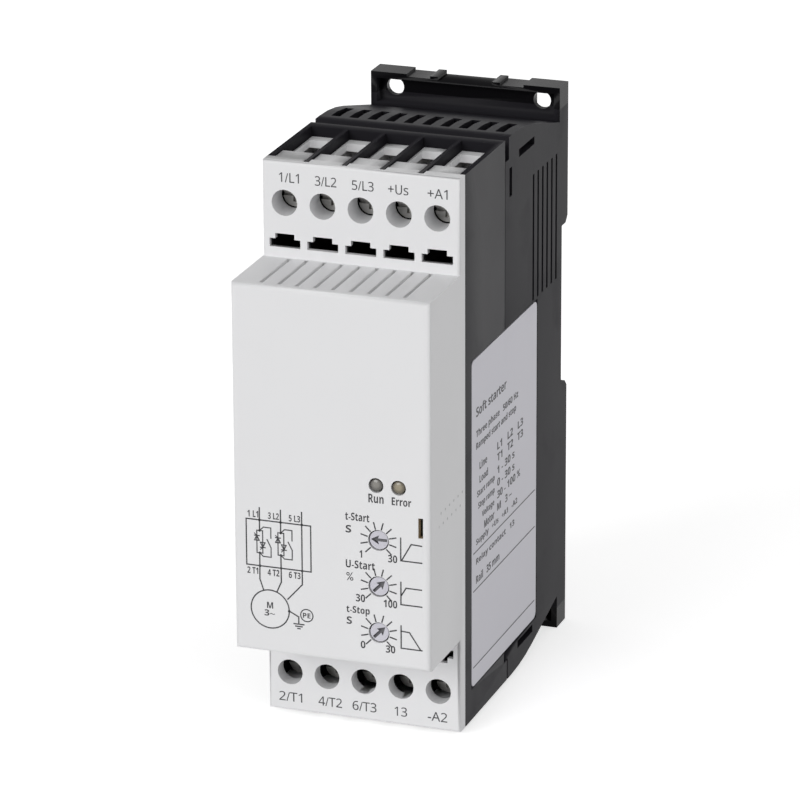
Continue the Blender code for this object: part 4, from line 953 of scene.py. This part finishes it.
class SOFTSTARTER_OT_terminal_marks(Operator):
    """Write the terminal numbers above and below the screws."""

    bl_idname = "softstarter.terminal_marks"
    bl_label = "Terminal marks"

    def execute(self, context):
        height = context.scene.starter_print.ink_height / MM
        mesh = bmesh.new()
        for words, box in MARK_BOXES:
            ink_text(mesh, words, box, height, LIGHT)
        mesh.transform(sheet_matrix("plate"))
        new_piece("terminal_marks", mesh, "panel ink", CASE)
        return {"FINISHED"}


class SOFTSTARTER_OT_label(Operator):
    """Lay the rating label with its plain rules and words on the side."""

    bl_idname = "softstarter.label"
    bl_label = "Rating label"

    def execute(self, context):
        sizes = context.scene.starter_print
        mesh = bmesh.new()
        low, high = Vector(LABEL_LOW), Vector(LABEL_HIGH)
        high.x -= SETBACK
        middle = Matrix.Translation((low + high) / 2)
        bmesh.ops.create_cube(mesh, size=1.0, matrix=middle @ Matrix.Diagonal((*(high - low), 1.0)))
        corners = [edge for edge in mesh.edges if abs(edge.verts[0].co.x - edge.verts[1].co.x) > SETBACK]
        bmesh.ops.bevel(
            mesh,
            geom=corners,
            offset=sizes.label_margin,
            segments=6,
            profile=0.5,
            affect="EDGES",
            material=-1,
        )
        film = new_piece("label_film", mesh, "label film", CASE)
        smooth(film, 30.0)
        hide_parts("rating_label")
        height = sizes.ink_height / MM
        mesh = bmesh.new()
        for words, box in LABEL_TEXTS:
            ink_text(mesh, words, box, height)
        left = LABEL_LOW[1] / MM + LABEL_RULE_MARGIN
        right = LABEL_HIGH[1] / MM - LABEL_RULE_MARGIN
        for z in LABEL_RULES:
            ink_line(mesh, ((left, z), (right, z)), LABEL_RULE_WIDTH, height)
        mesh.transform(sheet_matrix("label"))
        new_piece("label_print", mesh, "label ink", CASE)
        return {"FINISHED"}


class SOFTSTARTER_OT_dials(Operator):
    """Dress the three trimmers."""

    bl_idname = "softstarter.dials"
    bl_label = "Dials"

    def execute(self, context):
        for number in range(1, 4):
            rotor, dial = f"rotor_{number}", f"dial_{number}"
            dressed(f"dial_{rotor}", f"trimmer_{rotor}", "dial plastic", dial, 40.0)
            # Painted light: the dial bodies take the pale relay-case finish so the gap round each rotor
            # shows pale where it would lie in shade.
            repaint(f"dial_body_{number}", "relay case")
        return {"FINISHED"}


class SOFTSTARTER_OT_lights(Operator):
    """Spin the two domed light pipes."""

    bl_idname = "softstarter.lights"
    bl_label = "Light pipes"

    def execute(self, context):
        finishes = {"light_pipe_run": "run light pipe", "light_pipe_fault": "fault light pipe"}
        for name, finish_name in finishes.items():
            low, high = (Vector(corner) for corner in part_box(name))
            radius = (high.x - low.x) / 2
            dome = radius * DOME_SHARE
            mesh = bmesh.new()
            places = [(0.0, high.y), (radius, high.y)]
            for step in range(DOME_STEPS + 1):
                angle = math.radians(90.0 * step / DOME_STEPS)
                places.append((radius * math.cos(angle), low.y + dome * (1.0 - math.sin(angle))))
            verts = [mesh.verts.new((x, y, 0.0)) for x, y in places]
            edges = [mesh.edges.new(pair) for pair in zip(verts, verts[1:])]
            bmesh.ops.spin(
                mesh,
                geom=verts + edges,
                cent=(0, 0, 0),
                axis=(0, 1, 0),
                angle=math.tau,
                steps=32,
                use_merge=True,
            )
            bmesh.ops.remove_doubles(mesh, verts=mesh.verts, dist=DOME_MERGE)
            centre = (low + high) / 2
            mesh.transform(Matrix.Translation((centre.x, 0.0, centre.z)))
            domed = name.replace("light", "domed_light")
            piece = new_piece(domed, mesh, finish_name, CASE)
            smooth(piece, 50.0, weighted=False)
            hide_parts(name)
        return {"FINISHED"}


class SOFTSTARTER_OT_inside(Operator):
    """Finish the boards, the parts on them, the heat sink and the modules."""

    bl_idname = "softstarter.inside"
    bl_label = "Inside parts"

    def execute(self, context):
        finishes = {
            "circuit board": ("control_board", "power_board"),
            "black moulding": (
                "control_chip",
                "board_connector",
                "supply_capacitor",
                "thyristor_module_1",
                "thyristor_module_2",
            ),
            "relay case": ("bypass_relay_1", "bypass_relay_2", "supply_transformer"),
            "extruded aluminium": ("heat_sink",),
            "plated steel": ("module_screw_1", "module_screw_2"),
        }
        for material, names in finishes.items():
            for name in names:
                repaint(name, material)
        return {"FINISHED"}


class SOFTSTARTER_OT_latch(Operator):
    """Finish the rail latch, and the spring that it presses together."""

    bl_idname = "softstarter.latch"
    bl_label = "Rail latch"

    def execute(self, context):
        repaint("rail_latch", "latch plastic")
        spring = dressed("latch_spring", "wound_spring", "plated steel", CASE, 60.0)
        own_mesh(spring)
        return {"FINISHED"}


class SOFTSTARTER_OT_stage(Operator):
    """Set the pale floor, the soft lights and the camera."""

    bl_idname = "softstarter.stage"
    bl_label = "Stage"

    def execute(self, context):
        stage = context.scene.starter_stage
        floor_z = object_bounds()[0][2] - FLOOR_DROP
        mesh = bmesh.new()
        bmesh.ops.create_grid(mesh, x_segments=1, y_segments=1, size=FLOOR_HALF)
        bmesh.ops.translate(mesh, verts=mesh.verts, vec=(0.0, 0.0, floor_z))
        data = bpy.data.meshes.new("floor")
        mesh.to_mesh(data)
        mesh.free()
        data.materials.append(floor_paper())
        floor = held("floor", data)
        floor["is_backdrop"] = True
        set_world(context.scene, stage.sky)
        add_sun("key", KEY_WAY, stage.key, KEY_SOFTNESS)
        add_sun("side", SIDE_WAY, stage.fill, SIDE_SOFTNESS)
        add_camera(context.scene)
        context.scene.view_settings.view_transform = "Standard"
        return {"FINISHED"}


def seen_share(tree):
    """1 for the rays that show a background: from the camera, in gloss and through glass."""
    paths = node(tree, "ShaderNodeLightPath").outputs
    direct = sums(tree, "MAXIMUM", paths["Is Camera Ray"], paths["Is Glossy Ray"])
    return sums(tree, "MAXIMUM", direct, paths["Is Transmission Ray"])


def floor_paper():
    """White studio paper that keeps the shadow."""
    material, tree, shader = principled("studio paper")
    place = node(tree, "ShaderNodeTexCoord").outputs["Object"]
    fibre = node(tree, "ShaderNodeTexNoise", {"Vector": place, "Scale": 900.0, "Detail": 3.0}).outputs[0]
    dark, light = PAPER_COLOURS
    tree.links.new(blended(tree, fibre, rgba(dark), rgba(light)), shader.inputs["Base Color"])
    shader.inputs["Roughness"].default_value = 0.9
    shader.inputs["Specular IOR Level"].default_value = 0.1
    shader.inputs["Emission Color"].default_value = rgba(WHITE)
    glow = sums(tree, "MULTIPLY", seen_share(tree), FLOOR_GLOW)
    tree.links.new(glow, shader.inputs["Emission Strength"])
    return material


def set_world(scene, strength):
    """Even light from all round, white where it is seen."""
    world = bpy.data.worlds.new("studio")
    scene.world = world
    world.use_nodes = True
    tree = world.node_tree
    back = tree.nodes["Background"]
    back.inputs["Color"].default_value = rgba(WHITE)
    level = sums(tree, "MULTIPLY_ADD", seen_share(tree), 1.0 - strength, strength)
    tree.links.new(level, back.inputs["Strength"])


def add_sun(name, way, strength, softness):
    """A soft lamp that shines from the given direction."""
    lamp = bpy.data.lights.new(name, "SUN")
    lamp.energy = strength
    lamp.angle = math.radians(softness)
    held(name, lamp).rotation_euler = Vector(way).to_track_quat("Z", "Y").to_euler()


def add_camera(scene):
    """The photograph's camera."""
    turn, rise, roll = (math.radians(angle) for angle in (VIEW_TURN, VIEW_RISE, VIEW_ROLL))
    back = Vector((math.sin(turn) * math.cos(rise), -math.cos(turn) * math.cos(rise), math.sin(rise)))
    right = Vector((math.cos(turn), math.sin(turn), 0.0))
    up = back.cross(right)
    level = (right, up)
    right = level[0] * math.cos(roll) + level[1] * math.sin(roll)
    up = level[1] * math.cos(roll) - level[0] * math.sin(roll)
    camera = bpy.data.cameras.new("camera")
    camera.lens = VIEW_LENS
    camera.sensor_width = VIEW_SENSOR
    item = held("camera", camera)
    turned = Matrix((right, up, back)).transposed().to_4x4()
    item.matrix_world = Matrix.Translation(Vector(VIEW_CENTRE) + back * VIEW_DISTANCE) @ turned
    scene.camera = item


class SOFTSTARTER_PT_sidebar(Panel):
    """Lists the steps and their sizes."""

    bl_idname = "SOFTSTARTER_PT_sidebar"
    bl_label = "Soft starter"
    bl_space_type = "VIEW_3D"
    bl_region_type = "UI"
    bl_category = "Soft starter"

    def draw(self, context):
        layout = self.layout
        for attribute, group in GROUPS.items():
            for name in group.__annotations__:
                layout.prop(getattr(context.scene, attribute), name)
        for step in STEPS:
            layout.operator(step.bl_idname)


GROUPS = {
    "starter_print": StarterPrint,
    "starter_colours": StarterColours,
    "starter_stage": StarterStage,
}
STEPS = (
    SOFTSTARTER_OT_finishes,
    SOFTSTARTER_OT_mouldings,
    SOFTSTARTER_OT_terminals,
    SOFTSTARTER_OT_panel_print,
    SOFTSTARTER_OT_terminal_marks,
    SOFTSTARTER_OT_label,
    SOFTSTARTER_OT_dials,
    SOFTSTARTER_OT_lights,
    SOFTSTARTER_OT_inside,
    SOFTSTARTER_OT_latch,
    SOFTSTARTER_OT_stage,
)


def register():
    """Registers the settings, the steps and the sidebar panel."""
    for name, group in GROUPS.items():
        bpy.utils.register_class(group)
        setattr(bpy.types.Scene, name, PointerProperty(type=group))
    for step in STEPS + (SOFTSTARTER_PT_sidebar,):
        bpy.utils.register_class(step)


def unregister():
    """Undoes what register did."""
    for step in reversed(STEPS + (SOFTSTARTER_PT_sidebar,)):
        bpy.utils.unregister_class(step)
    for name, group in GROUPS.items():
        delattr(bpy.types.Scene, name)
        bpy.utils.unregister_class(group)


def main():
    """Builds every piece."""
    register()
    bpy.ops.softstarter.finishes()
    bpy.ops.softstarter.mouldings()
    bpy.ops.softstarter.terminals()
    bpy.ops.softstarter.panel_print()
    bpy.ops.softstarter.terminal_marks()
    bpy.ops.softstarter.label()
    bpy.ops.softstarter.dials()
    bpy.ops.softstarter.lights()
    bpy.ops.softstarter.inside()
    bpy.ops.softstarter.latch()
    bpy.ops.softstarter.stage()


if __name__ == "__main__":
    main()
